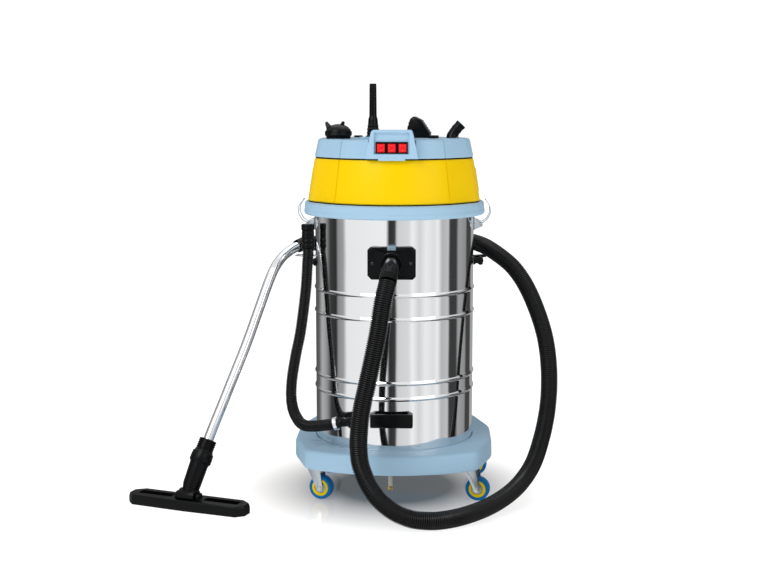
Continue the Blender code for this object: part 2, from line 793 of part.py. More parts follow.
def build_drain():
    out = Vector((math.cos(DRAIN_SPOT), math.sin(DRAIN_SPOT), 0))
    wall = out * DRUM_R + Vector((0, 0, DRAIN_Z))
    tip = Vector(DRAIN_TIP)
    heading = (Vector((-0.019, 0.003, -0.005))).normalized()
    elbow = [
        wall - out * 0.008,
        wall + out * 0.012,
        wall + out * 0.021 + heading * 0.006,
        tip - heading * 0.010,
        tip,
    ]
    spigot = add("drain_spigot", swept(elbow, [SPIGOT_R] * len(elbow), 12), BLACK)
    flange = moved(cylinder(0.023, DRUM_R - 0.012, DRUM_R + 0.006, 20), aim((1, 0, 0)))
    flange = moved(flange, shift(0, 0, DRAIN_Z) @ turn_z(DRAIN_SPOT))
    collar = add("drain_flange_helper", flange, BLACK)
    combine(collar, drum_cutter())
    collar_mesh = applied(collar)
    bm = bmesh.new()
    bm.from_mesh(collar_mesh)
    join(spigot, bm)
    line = [tip + heading * GAP, tip + heading * 0.022, *map(Vector, DRAIN_ROUTE[::-1])]
    top = Vector(DRAIN_TOP)
    line += [top - Vector((0, 0, 0.020)), top - Vector((0, 0, GAP))]
    up = Vector((0, 0, 1))
    hose("drain_hose", squared(smooth_line(line, 30), heading, up), DRAIN_HOSE_R, RUBBER)
    # A worm-drive band grips the hose over the outlet's end.
    start = tip + heading * 0.003
    band = [start, start + heading * 0.010]
    inner = DRAIN_HOSE_R + 0.0010
    add("drain_clamp", swept(band, [inner + 0.0015] * 2, 20, bore=[inner] * 2), CHROME)
    x, y, z = top
    profile = [(0.0110, 0), (0.0185, 0), (0.0185, 0.010), (0.0165, 0.013), (0.0185, 0.016)]
    profile += [(0.0185, 0.022), (0.0165, 0.026), (0.0165, 0.050), (0.0110, 0.050)]
    add("drain_cuff", turned(profile, 16, ring=True), BLACK, (x, y, z))
    plug = [(0, 0.030), (0.0100, 0.030), (0.0100, 0.0505), (0.0182, 0.0505), (0.0182, 0.0640), (0.0165, 0.066), (0, 0.066)]
    add("drain_plug", turned(plug, 16), BLACK, (x, y, z))


# --- Head -------------------------------------------------------------------


def head_plan(half_width):
    corner = (HEAD_CORNER[0] * half_width, HEAD_CORNER[1] * half_width)
    return barrel_plan(half_width, half_width, corner, HEAD_SIDE_Y * half_width)


def build_head_ring():
    """The lower head: a rolled ring over the drum's rim, with the plate that carries the motors."""
    inner = DRUM_R + 0.0026
    seat = HOUSING_HALF_WIDTH - 0.010
    profile = [
        (0, RING_DECK),
        (inner, RING_DECK),
        (inner, RING_BOTTOM),
        (RING_R - 0.004, RING_BOTTOM),
        (RING_R, RING_BOTTOM + 0.005),
        (RING_R, RING_TOP - 0.008),
        (RING_R - 0.006, RING_TOP),
        (seat * 0.97, RING_TOP),
        (seat * 0.97, RING_TOP + RING_SEAT_HEIGHT),
        (seat * 0.90, RING_TOP + RING_SEAT_HEIGHT),
        (seat * 0.90, RING_TOP),
        (0, RING_TOP),
    ]
    ring = add("head_ring", turned(profile), BLUE)
    for x, y in motor_places():
        combine(ring, moved(cylinder(0.020, RING_DECK - 0.01, RING_TOP + 0.01), shift(x, y, 0)))


def motor_places():
    for k in range(3):
        angle = math.radians(90 + 120 * k)
        yield MOTOR_CIRCLE * math.cos(angle), MOTOR_CIRCLE * math.sin(angle)


def build_motors():
    low = RING_TOP + GAP
    profile = [(0, low + 0.004), (0.018, low + 0.004), (0.018, low), (MOTOR_R, low)]
    profile += [(MOTOR_R, low + 0.038), (MOTOR_R - 0.004, low + 0.042), (0.046, low + 0.042)]
    profile += [(0.046, low + 0.078), (0.030, low + MOTOR_HEIGHT), (0, low + MOTOR_HEIGHT)]
    mesh = applied(add("motor", turned(profile, 16), ZINC))
    for k, (x, y) in enumerate(motor_places()):
        add_mesh(f"motor_{k + 1}", mesh, ZINC, (x, y, 0))


def build_housing():
    bottom = RING_TOP + RING_SEAT_HEIGHT + GAP
    top = HOUSING_TOP
    half, top_half = HOUSING_HALF_WIDTH, HOUSING_TOP_HALF_WIDTH
    lip = top + SEAM - GAP
    plan = head_plan(1.0)
    levels = [
        (bottom, half - 0.022),
        (bottom, half - 0.003),
        (bottom + 0.003, half),
        (top - 0.003, top_half),
        (top, top_half - 0.008),
        (lip, top_half - 0.008),
        (lip, top_half - 0.016),
        (top - 0.006, top_half - 0.016),
        (top - 0.012, top_half - SHELL_WALL),
        (bottom + 0.006, half - SHELL_WALL),
        (bottom + 0.003, half - 0.022),
    ]
    housing = add("motor_housing", lofted([scaled_plan(plan, h, z) for z, h in levels], ring=True), YELLOW)
    # Finger grips on the two sides, and the boss that the power lead enters at the back.
    for side in (-1, 1):
        grip = box((-0.006, -0.030, -0.034), (0.006, 0.030, 0.030), 0.0035, 1)
        lean = Matrix.Rotation(-side * math.atan((half - top_half) / (top - bottom)), 4, "Y")
        middle = (half + top_half) / 2 - 0.003
        join(housing, moved(grip, shift(side * middle, 0, (bottom + top) / 2) @ lean))
    inlet = moved(cylinder(0.011, half - 0.016, half + 0.006, 16), aim((0, 1, 0)))
    join(housing, moved(inlet, shift(0.060, -0.010, bottom + 0.030)))
    bore = moved(cylinder(0.0055, half - 0.030, half + 0.02, 12), aim((0, 1, 0)))
    combine(housing, moved(bore, shift(0.060, -0.010, bottom + 0.030)))


def console_outline(margin=0.0):
    """The console's front outline in x and z, with a tab below it."""
    top, low = PANEL_TOP + margin, PANEL_BOTTOM - margin
    a, b = PANEL_TOP_HALF + margin, PANEL_BOTTOM_HALF + margin
    return [(-b, low), (b, low), (b - 0.006, low + 0.030), (a, top - 0.004), (a - 0.004, top),
            (-a + 0.004, top), (-a, top - 0.004), (-b + 0.006, low + 0.030)]


def build_cover():
    """The upper head: a shallow lid whose deck carries the small tools."""
    bottom = HOUSING_TOP + SEAM
    half, top_half = COVER_HALF_WIDTH, COVER_TOP_HALF_WIDTH
    plan = head_plan(1.0)
    outer = [
        (bottom, half - 0.016),
        (bottom, half - 0.002),
        (bottom + 0.003, half),
        (COVER_TOP - 0.006, top_half),
        (COVER_TOP - 0.0015, top_half - 0.002),
        (COVER_TOP, top_half - 0.007),
    ]
    cover = add("head_cover", lofted([scaled_plan(plan, h, z) for z, h in outer]), BLUE)
    inside = [(bottom - 0.01, half - 0.016), (bottom + 0.003, half - 0.016), (bottom + 0.008, half - SHELL_WALL - 0.001),
              (COVER_TOP - SHELL_WALL, top_half - SHELL_WALL - 0.003)]
    combine(cover, lofted([scaled_plan(plan, h, z) for z, h in inside]))
    combine(cover, prism(console_outline(GAP), -PANEL_FRONT - 0.03, -PANEL_BACK + GAP, "Y"))


def switch_places():
    for k in (-1, 0, 1):
        yield k * SWITCH_PITCH


def build_console():
    front = -PANEL_FRONT
    panel = add("switch_panel", prism(console_outline(), front, -PANEL_BACK, "Y"), BLUE)
    combine(
        panel,
        box((-RECESS_HALF, front - 0.01, RECESS_BOTTOM), (RECESS_HALF, front + RECESS_DEPTH, RECESS_TOP), 0.002, 1),
    )
    # Behind its face the console is hollow and open towards the cover.
    face = front + RECESS_DEPTH + SHELL_WALL
    combine(panel, box((-0.046, face, RECESS_BOTTOM + 0.003), (0.046, -PANEL_BACK + 0.01, RECESS_TOP - 0.001)))
    half_x = SWITCH_PITCH + SWITCH_HALF_WIDTH
    window = box(
        (-half_x + 0.0010, front, SWITCH_CENTRE_Z - SWITCH_HALF_HEIGHT + 0.0010),
        (half_x - 0.0010, face + 0.002, SWITCH_CENTRE_Z + SWITCH_HALF_HEIGHT - 0.0010),
    )
    combine(panel, window)
    tab = box((-0.035, front - 0.0005, PANEL_BOTTOM - 0.0045), (0.035, front + 0.004, PANEL_BOTTOM + 0.003))
    join(panel, tab)
    return face


def build_switches():
    """One black frame holds three rockers, each on its own pivot across the frame."""
    front = -PANEL_FRONT + RECESS_DEPTH
    face = front - 0.0025
    half_x = SWITCH_PITCH + SWITCH_HALF_WIDTH
    frame = add(
        "switch_frame",
        box(
            (-half_x, face, SWITCH_CENTRE_Z - SWITCH_HALF_HEIGHT),
            (half_x, front - GAP, SWITCH_CENTRE_Z + SWITCH_HALF_HEIGHT),
        ),
        BLACK,
    )
    body = box(
        (-half_x + 0.0014, front - 0.001, SWITCH_CENTRE_Z - SWITCH_HALF_HEIGHT + 0.0014),
        (half_x - 0.0014, front + 0.016, SWITCH_CENTRE_Z + SWITCH_HALF_HEIGHT - 0.0014),
    )
    join(frame, body)
    for x in switch_places():
        combine(
            frame,
            box(
                (x - ROCKER_HALF_WIDTH - 0.0006, face - 0.01, SWITCH_CENTRE_Z - ROCKER_HALF_HEIGHT - 0.0012),
                (x + ROCKER_HALF_WIDTH + 0.0006, front + 0.012, SWITCH_CENTRE_Z + ROCKER_HALF_HEIGHT + 0.0012),
            ),
        )
    # A rocker is a shallow vee whose two halves rise to either side of the pivot.
    w, h = ROCKER_HALF_WIDTH, ROCKER_HALF_HEIGHT
    side_view = [(-0.0065, -h), (-0.0050, 0), (-0.0065, h), (0.0020, h - 0.002), (0.0080, 0.003), (0.0080, -0.003), (0.0020, -h + 0.002)]
    for k, x in enumerate(switch_places()):
        layers = [[(dx, y, z) for y, z in side_view] for dx in (-w, w)]
        bm = moved(lofted(layers), Matrix.Rotation(ROCKER_TILT, 4, "X"))
        add(f"rocker_{k + 1}", bm, RED, (x, front + 0.001, SWITCH_CENTRE_Z))


def build_float():
    """The slotted cage under the head and the float that shuts the air off when the drum is full."""
    top = RING_DECK - GAP
    low = top - FLOAT_CAGE_HEIGHT
    r, wall = FLOAT_CAGE_R, 0.0025
    profile = [(0, low), (r, low), (r, top - 0.004), (r + 0.010, top - 0.004), (r + 0.010, top)]
    profile += [(r - wall, top), (r - wall, low + wall), (0, low + wall)]
    cage = add("float_cage", turned(profile, 24), WHITE)
    for angle in (0, math.pi / 2):
        slot = box((-0.008, -0.08, low + 0.012), (0.008, 0.08, top - 0.022))
        combine(cage, moved(slot, turn_z(angle)))
    bm = bmesh.new()
    bmesh.ops.create_uvsphere(bm, u_segments=14, v_segments=8, radius=FLOAT_R)
    add("float_ball", bm, WHITE, (0, 0, low + wall + GAP + FLOAT_R))


def build_filter_bag():
    top = RING_DECK - GAP
    rim = BAG_R + 0.035
    profile = [
        (0, BAG_BOTTOM),
        (BAG_R - 0.030, BAG_BOTTOM),
        (BAG_R, BAG_BOTTOM + 0.030),
        (BAG_R, top - 0.014),
        (rim, top - 0.004),
        (rim, top),
        (BAG_R - BAG_WALL, top),
        (BAG_R - BAG_WALL, BAG_BOTTOM + 0.031),
        (BAG_R - 0.031, BAG_BOTTOM + BAG_WALL),
        (0, BAG_BOTTOM + BAG_WALL),
    ]
    add("filter_bag", turned(profile, 24), CLOTH)


# --- Small tools on the deck ------------------------------------------------


def build_crevice_nozzle():
    x, y = NOZZLE_SPOT
    low = COVER_TOP + GAP
    heights = [0, 0.004, 0.006, 0.024, 0.050, 0.058, NOZZLE_HEIGHT - 0.004, NOZZLE_HEIGHT]
    radii = [0.0200, 0.0200, 0.0170, 0.0160, 0.0130, 0.0105, 0.0093, 0.0085]
    points = [(0, 0, h) for h in heights]
    bore = [0.0100, 0.0100, 0.0100, 0.0100, 0.0100, 0.0085, 0.0070, 0.0070]
    add("crevice_nozzle", swept(points, radii, 10, bore=bore), BLACK, (x, y, low))


def build_round_brush():
    """A domed dusting brush lying with its mouth down and two horns of its collar up."""
    x, y = BRUSH_SPOT
    low = COVER_TOP + GAP
    profile = [(0, 0), (0.027, 0), (0.035, 0.008), (0.0365, 0.016), (0.032, 0.027), (0.020, 0.036), (0, 0.040)]
    brush = add("round_brush", turned(profile, 24), BLACK, (x, y, low))
    for side, lean in ((-1, 0.5), (0.25, -0.35)):
        horn = lofted(
            [
                [(-0.010, -0.009, 0), (0.010, -0.009, 0), (0.010, 0.009, 0), (-0.010, 0.009, 0)],
                [(-0.003, -0.004, 0.026), (0.003, -0.004, 0.026), (0.003, 0.004, 0.026), (-0.003, 0.004, 0.026)],
            ]
        )
        turn = Matrix.Rotation(-lean, 4, "Y")
        join(brush, moved(horn, shift(side * 0.021, 0, 0.022) @ turn))


def build_upholstery_nozzle():
    """A wide-mouthed nozzle lying on its mouth, its ribbed neck leaning back."""
    x, y = UPHOLSTERY_SPOT
    low = COVER_TOP + GAP
    outline = [(-0.034, 0), (0.034, 0), (0.036, 0.012), (0.010, 0.050), (-0.010, 0.060), (-0.020, 0.052)]
    bm = prism(outline, -0.022, 0.022, "Y")
    bmesh.ops.bevel(bm, geom=bm.edges[:], offset=0.002, segments=1, affect="EDGES")
    add("upholstery_nozzle", moved(bm, turn_z(math.radians(-8))), BLACK, (x, y, low))


def build_adapter():
    """A short angled sleeve that joins small tools to the wand."""
    x, y = ADAPTER_SPOT
    low = COVER_TOP + GAP
    path = [(-0.006, 0, 0), (-0.006, 0, 0.006), (-0.002, 0, 0.014), (0.006, 0, 0.025), (0.018, 0, 0.038)]
    radii = [0.0180, 0.0165, 0.0150, 0.0145, 0.0150]
    bore = [0.0120] * 5
    add("elbow_adapter", swept(path, radii, 12, bore=bore), BLACK, (x, y, low))


# --- Suction hose, wand and floor tool --------------------------------------


def wand_point(along, height):
    return Vector(
        (
            TOOL_CENTRE[0] + along * math.cos(WAND_PLANE),
            TOOL_CENTRE[1] + along * math.sin(WAND_PLANE),
            height,
        )
    )


def build_suction_hose():
    start_y = -DRUM_R + 0.010
    elbow = [
        (0, start_y, INLET_Z),
        (0, -0.250, INLET_Z),
        (0, -0.272, INLET_Z - 0.001),
        (-0.0005, -0.292, INLET_Z - 0.005),
        (-0.002, -0.310, INLET_Z - 0.013),
        (-0.0045, -0.323, INLET_Z - 0.025),
        (-0.0062, -0.3310, INLET_Z - 0.0345),
    ]
    tip = Vector(elbow[-1])
    heading = (tip - Vector(elbow[-2])).normalized()
    add("hose_cuff_inlet", swept(elbow, [CUFF_R] * len(elbow), 20), BLACK)
    end = Vector(SUCTION_END)
    wand_end = wand_point(*WAND_ROUTE[-1])
    out = (wand_end - wand_point(*WAND_ROUTE[-2])).normalized()
    cuff_foot = wand_end + out * 0.002
    toward = (end - cuff_foot).normalized()
    route = [tip + heading * GAP, *map(Vector, SUCTION_ROUTE), end]
    hose("suction_hose", squared(smooth_line(route, 52), heading, -toward), HOSE_R, RUBBER)
    # The rear cuff slips over the wand's upper end and holds the hose's last turn.
    cuff = [
        wand_end - out * 0.022,
        wand_end + out * 0.004,
        wand_end + out * 0.010 + toward * 0.006,
        end - toward * (GAP + 0.002),
        end - toward * GAP,
    ]
    radii = [0.0185, 0.0190, 0.0205, CUFF_R, CUFF_R]
    bore = [WAND_R + 2 * SLIP] * 3 + [0.018, 0.018]
    add("hose_cuff_wand", swept(cuff, radii, 12, bore=bore), BLACK)


def build_wand():
    points = [wand_point(0.058, 0.1495)] + [wand_point(*p) for p in WAND_ROUTE]
    count = 14
    line = smooth_line(points, count)
    add("wand", swept(line, [WAND_R] * count, 10, bore=[WAND_R - WAND_WALL] * count), CHROME)


def build_floor_tool():
    """The neck turns on a barrel between the cheeks of the floor tool, about the tool's length."""
    cx, cy = TOOL_CENTRE
    hinge = empty("tool_hinge", (cx, cy, TOOL_HINGE_Z))
    half_l, half_w = TOOL_LENGTH / 2, TOOL_WIDTH / 2
    plan = [
        (-half_l, 0.4 * half_w), (-half_l, -0.45 * half_w), (-half_l + 0.020, -half_w), (0, -half_w - 0.004),
        (half_l - 0.020, -half_w), (half_l, -0.45 * half_w), (half_l, 0.4 * half_w), (half_l - 0.024, half_w),
        (0, half_w), (-half_l + 0.024, half_w),
    ]
    base = -TOOL_HINGE_Z
    levels = [(0.0, 0.985), (0.004, 1.0), (0.018, 1.0), (TOOL_HEIGHT - 0.010, 0.94), (TOOL_HEIGHT - 0.008, 0.90)]
    layers = [[(x * share if abs(x) < 0.01 else x - math.copysign((1 - share) * half_w, x), y * share, base + z)
               for x, y in plan] for z, share in levels]
    body = add("floor_tool", moved(lofted(layers), turn_z(TOOL_TURN)), BLACK, parent=hinge)
    # The barrel sits in a well between the front and back walls.
    trough = box((-TOOL_TROUGH, -0.028, -BARREL_R - 0.0010), (TOOL_TROUGH, 0.028, 0.05))
    combine(body, moved(trough, turn_z(TOOL_TURN)))
    # Two pockets lighten the top, and the suction slot opens along the underside.
    for side in (-1, 1):
        x0, x1 = sorted((side * 0.048, side * (half_l - 0.026)))
        pocket = box((x0, -0.012, base + 0.012), (x1, 0.016, base + 0.05), 0.002, 1)
        combine(body, moved(pocket, turn_z(TOOL_TURN)))
    slot = box((-half_l + 0.030, -0.012, base - 0.01), (half_l - 0.030, 0.006, base + 0.006))
    combine(body, moved(slot, turn_z(TOOL_TURN)))
    # Cheeks hold the barrel's ends.
    for side in (-1, 1):
        x0, x1 = sorted((side * (TOOL_TROUGH - 0.001), side * (TOOL_TROUGH + 0.009)))
        cheek = moved(cylinder(0.0130, x0, x1, 20), aim((1, 0, 0)))
        join(body, moved(cheek, turn_z(TOOL_TURN)))
    barrel = moved(cylinder(BARREL_R, -TOOL_TROUGH + 0.0017, TOOL_TROUGH - 0.0017, 24), aim((1, 0, 0)))
    neck = add("tool_neck", moved(barrel, turn_z(TOOL_TURN)), BLACK, (cx, cy, TOOL_HINGE_Z))
    middle = Vector((cx, cy, TOOL_HINGE_Z))
    top = wand_point(0.058, 0.1495)
    along = (wand_point(*WAND_ROUTE[0]) - top).normalized()
    path = [
        Vector((0, 0, 0)),
        wand_point(0.012, 0.062) - middle,
        top - along * 0.040 - middle,
        top - along * 0.034 - middle,
        top - along * 0.010 - middle,
        top - along * 0.004 - middle,
        top + along * 0.004 - middle,
        top + along * 0.028 - middle,
    ]
    radii = [0.0190, NECK_R, NECK_R + 0.0015, 0.0300, 0.0290, 0.0250, 0.0240, 0.0235]
    join(neck, swept(path, radii, 16))
    socket = swept([top - along * 0.018 - middle, top + along * 0.050 - middle], [WAND_R + GAP] * 2, 20)
    combine(neck, socket)


build_base()
build_castors()
build_earth_strap()
build_drum()
build_inlet()
build_drum_handle()
build_pegs()
build_hose_hook()
build_wand_hook()
build_latches()
build_drain()
build_head_ring()
build_motors()
build_housing()
build_cover()
build_console()
build_switches()
build_float()
build_filter_bag()
build_crevice_nozzle()
build_round_brush()
build_upholstery_nozzle()
build_adapter()
build_suction_hose()
build_wand()
build_floor_tool()
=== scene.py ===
"""A wheeled wet and dry drum vacuum cleaner: the finished look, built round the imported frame.

Metres, +Z up, the machine's front faces -Y. Each section makes one piece or one group of like pieces.
"""

import json
import math

import bpy
from mathutils import Matrix, Vector


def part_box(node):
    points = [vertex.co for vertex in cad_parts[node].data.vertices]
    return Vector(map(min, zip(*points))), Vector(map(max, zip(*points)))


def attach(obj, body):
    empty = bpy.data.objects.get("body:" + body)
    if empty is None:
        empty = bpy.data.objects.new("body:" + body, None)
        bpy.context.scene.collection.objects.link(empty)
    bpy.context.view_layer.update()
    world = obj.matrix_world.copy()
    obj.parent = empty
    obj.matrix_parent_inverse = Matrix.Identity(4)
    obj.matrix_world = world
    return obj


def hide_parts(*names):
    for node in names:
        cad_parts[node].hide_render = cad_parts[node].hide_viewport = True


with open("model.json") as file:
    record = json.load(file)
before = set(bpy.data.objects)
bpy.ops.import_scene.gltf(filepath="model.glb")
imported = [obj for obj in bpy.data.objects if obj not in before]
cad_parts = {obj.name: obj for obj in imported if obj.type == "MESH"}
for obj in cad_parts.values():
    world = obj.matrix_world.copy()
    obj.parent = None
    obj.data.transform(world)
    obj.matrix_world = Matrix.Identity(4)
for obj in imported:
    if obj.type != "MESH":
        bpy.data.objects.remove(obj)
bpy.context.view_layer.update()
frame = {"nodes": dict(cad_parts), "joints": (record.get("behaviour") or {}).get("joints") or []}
nodes = frame["nodes"]
bpy.ops.object.select_all(action="DESELECT")


# --- Studio -----------------------------------------------------------------
# A white sweep with broad soft lights. Polished steel shows only what stands around it, so the room
# that it mirrors has upright dark flags between its white walls.

bpy.ops.object.camera_add(
    location=(0.1187, -3.678, 1.080), rotation=(math.radians(82.1), 0, math.radians(2.3))
)
camera = bpy.context.object
camera.data.lens = 62.16
camera.data.sensor_width = 36
bpy.context.scene.camera = camera
bpy.context.scene.view_settings.view_transform = "Standard"


def linear(hex_colour):
    """An sRGB hex colour as linear red, green, blue and alpha."""
    out = []
    for i in (0, 2, 4):
        c = int(hex_colour[i : i + 2], 16) / 255
        out.append(c / 12.92 if c <= 0.04045 else ((c + 0.055) / 1.055) ** 2.4)
    return (*out, 1)


def node(tree, kind, inputs=None, **settings):
    """Adds a node. Each input is a value, or a socket to link from."""
    made = tree.nodes.new(kind)
    for name, value in settings.items():
        setattr(made, name, value)
    for name, value in (inputs or {}).items():
        if isinstance(value, bpy.types.NodeSocket):
            tree.links.new(value, made.inputs[name])
        else:
            made.inputs[name].default_value = value
    return made


world = bpy.data.worlds.new("studio")
bpy.context.scene.world = world
world.use_nodes = True
room = world.node_tree
room.nodes.clear()
direction = node(room, "ShaderNodeTexCoord")
split = node(room, "ShaderNodeSeparateXYZ", {"Vector": direction.outputs["Generated"]})
minus_y = node(room, "ShaderNodeMath", {0: split.outputs["Y"], 1: -1.0}, operation="MULTIPLY")
bearing = node(
    room, "ShaderNodeMath", {0: split.outputs["X"], 1: minus_y.outputs[0]}, operation="ARCTAN2"
)
turn = node(
    room,
    "ShaderNodeMapRange",
    {"Value": bearing.outputs[0], "From Min": -math.pi, "From Max": math.pi},
)
walls = node(room, "ShaderNodeValToRGB", {"Fac": turn.outputs[0]})
# Bearing in degrees from straight ahead of the machine, and how bright the room is from there on.
flags = [
    (-180, 0.30), (-160, 0.08), (-142, 0.12), (-128, 0.46), (-116, 0.34), (-104, 0.05), (-91, 0.03),
    (-87, 0.30), (-77, 0.38), (-71, 0.92), (-10, 0.98), (-6, 0.03), (3, 0.05), (6, 0.72), (22, 0.78),
    (28, 1.00), (38, 0.74), (48, 0.96), (60, 0.84), (67, 0.98), (74, 0.52), (86, 0.60), (89, 0.05),
    (103, 0.05), (108, 0.38), (127, 0.30), (131, 0.06), (146, 0.06), (152, 0.42), (180, 0.30),
]
ramp = walls.color_ramp
ramp.interpolation = "LINEAR"
for k, (degrees, bright) in enumerate(flags):
    place = (degrees + 180) / 360
    stop = ramp.elements[k] if k < 2 else ramp.elements.new(place)
    stop.position = place
    stop.color = (bright, bright, bright * 1.01, 1)
upward = node(
    room, "ShaderNodeMapRange", {"Value": split.outputs["Z"], "From Min": 0.30, "From Max": 0.62}
)
ceiling = node(
    room, "ShaderNodeMix",
    {0: upward.outputs[0], "A": walls.outputs["Color"], "B": (0.95, 0.95, 0.95, 1)},
    data_type="RGBA",
)
path = node(room, "ShaderNodeLightPath")
# What polished pieces mirror, what lights the dull ones, and what stands behind the machine.
mirrored = node(room, "ShaderNodeBackground", {"Color": ceiling.outputs["Result"], "Strength": 1.0})
plain = node(room, "ShaderNodeBackground", {"Color": (1, 1, 1, 1), "Strength": 0.20})
seen = node(room, "ShaderNodeBackground", {"Color": (1, 1, 1, 1), "Strength": 1.05})
inner = node(
    room, "ShaderNodeMixShader",
    {0: path.outputs["Is Glossy Ray"], 1: plain.outputs[0], 2: mirrored.outputs[0]},
)
outer = node(
    room, "ShaderNodeMixShader",
    {0: path.outputs["Is Camera Ray"], 1: inner.outputs[0], 2: seen.outputs[0]},
)
node(room, "ShaderNodeOutputWorld", {"Surface": outer.outputs[0]})

MIDDLE = Vector((0, 0, 0.55))
for name, place, size, power in (
    ("key_softbox", (-1.7, -2.6, 2.9), 2.0, 60),
    ("fill_softbox", (2.3, -2.2, 2.0), 2.0, 20),
    ("top_softbox", (0.0, 0.6, 3.4), 2.4, 26),
):
    bpy.ops.object.light_add(type="AREA", location=place)
    lamp = bpy.context.object
    lamp.name = name
    lamp.data.size = size
    lamp.data.energy = power
    aim = MIDDLE - Vector(place)
    lamp.rotation_euler = aim.to_track_quat("-Z", "Y").to_euler()

# White acrylic floor, grey where the machine shades it. It also glows, and the glow fades out towards the
# machine: a painted shadow round the machine's foot, with the floor further out painted white by its own
# glow. It holds a faint mirror image of the wheels and the hose.
PAINTED_SHADOW_INNER_R, PAINTED_SHADOW_OUTER_R = 0.16, 0.46
bpy.ops.mesh.primitive_plane_add(size=60, location=(0, 0, -0.0006))
studio_floor = bpy.context.object
studio_floor.name = "studio_floor"
acrylic = bpy.data.materials.new("white_acrylic_sweep")
acrylic.use_nodes = True
tree = acrylic.node_tree
shell = tree.nodes["Principled BSDF"]
shell.inputs["Base Color"].default_value = (0.34, 0.31, 0.29, 1)
shell.inputs["Roughness"].default_value = 0.12
shell.inputs["Specular IOR Level"].default_value = 0.35
shell.inputs["Emission Color"].default_value = (1, 1, 1, 1)
spot = node(tree, "ShaderNodeTexCoord")
flat = node(tree, "ShaderNodeVectorMath", {0: spot.outputs["Object"], 1: (1, 1, 0)}, operation="MULTIPLY")
away = node(tree, "ShaderNodeVectorMath", {0: flat.outputs[0]}, operation="LENGTH")
# The floor's glow is faint within the inner radius and full past the outer one: a painted shadow round the
# machine's foot.
glow = node(
    tree, "ShaderNodeMapRange",
    {"Value": away.outputs["Value"], "From Min": PAINTED_SHADOW_INNER_R, "From Max": PAINTED_SHADOW_OUTER_R,
     "To Min": 0.02, "To Max": 1.0},
)
tree.links.new(glow.outputs[0], shell.inputs["Emission Strength"])
studio_floor.data.materials.append(acrylic)
# The steel mirrors the walls down to their foot, so it doesn't see the floor.
studio_floor.visible_glossy = False


# --- Suction hose -----------------------------------------------------------
# Annular-ribbed black polyethylene hose, 47 mm outside. It runs from the drum's inlet to the floor,
# up past the right side, over its hook and behind the drum to the wand.

SUCTION_START = (-0.0062, -0.3310, 0.6315)
SUCTION_ROUTE = [
    (-0.0079, -0.3356, 0.622), (-0.018, -0.351, 0.580), (-0.0295, -0.3665, 0.507),
    (-0.0443, -0.377, 0.432), (-0.058, -0.383, 0.368), (-0.0705, -0.388, 0.310),
    (-0.077, -0.3934, 0.2537), (-0.078, -0.396, 0.209), (-0.072, -0.399, 0.166),
    (-0.056, -0.403, 0.126), (-0.031, -0.406, 0.087), (0.005, -0.410, 0.055),
    (0.051, -0.413, 0.034), (0.105, -0.405, 0.0255), (0.156, -0.384, 0.0245),
    (0.208, -0.344, 0.026), (0.262, -0.290, 0.032), (0.312, -0.233, 0.046),
    (0.352, -0.179, 0.068), (0.385, -0.135, 0.106), (0.4083, -0.0987, 0.162),
    (0.4248, -0.068, 0.2255), (0.4327, -0.0427, 0.291), (0.4326, -0.0127, 0.364),
    (0.4226, 0.017, 0.436), (0.3997, 0.0461, 0.508), (0.3696, 0.0749, 0.5725),
    (0.3334, 0.0985, 0.621), (0.2855, 0.1216, 0.6575), (0.2460, 0.1480, 0.6775),
    (0.2040, 0.1880, 0.6820), (0.1560, 0.2320, 0.6600), (0.1020, 0.2680, 0.6180),
    (0.0400, 0.2880, 0.5830), (-0.0240, 0.2920, 0.5710), (-0.0880, 0.2790, 0.5830),
    (-0.1440, 0.2480, 0.6130), (-0.1880, 0.2060, 0.6500), (-0.2170, 0.1600, 0.6770),
]


def flowing(points, step):
    """A smooth line through the points, one place every step metres, and the line's length."""
    pts = [Vector(p) for p in points]
    pts = [2 * pts[0] - pts[1], *pts, 2 * pts[-1] - pts[-2]]
    fine = []
    for a, b, c, d in zip(pts, pts[1:], pts[2:], pts[3:]):
        for i in range(16):
            t = i / 16
            fine.append(
                0.5 * (2 * b + (c - a) * t + (2 * a - 5 * b + 4 * c - d) * t**2
                       + (3 * b - a - 3 * c + d) * t**3)
            )
    fine.append(pts[-2])
    runs = [0.0]
    for a, b in zip(fine, fine[1:]):
        runs.append(runs[-1] + (b - a).length)
    count = max(8, round(runs[-1] / step))
    line, k = [], 0
    for i in range(count + 1):
        want = runs[-1] * i / count
        while k < len(runs) - 2 and runs[k + 1] < want:
            k += 1
        line.append(fine[k].lerp(fine[k + 1], (want - runs[k]) / (runs[k + 1] - runs[k])))
    return line, runs[-1]


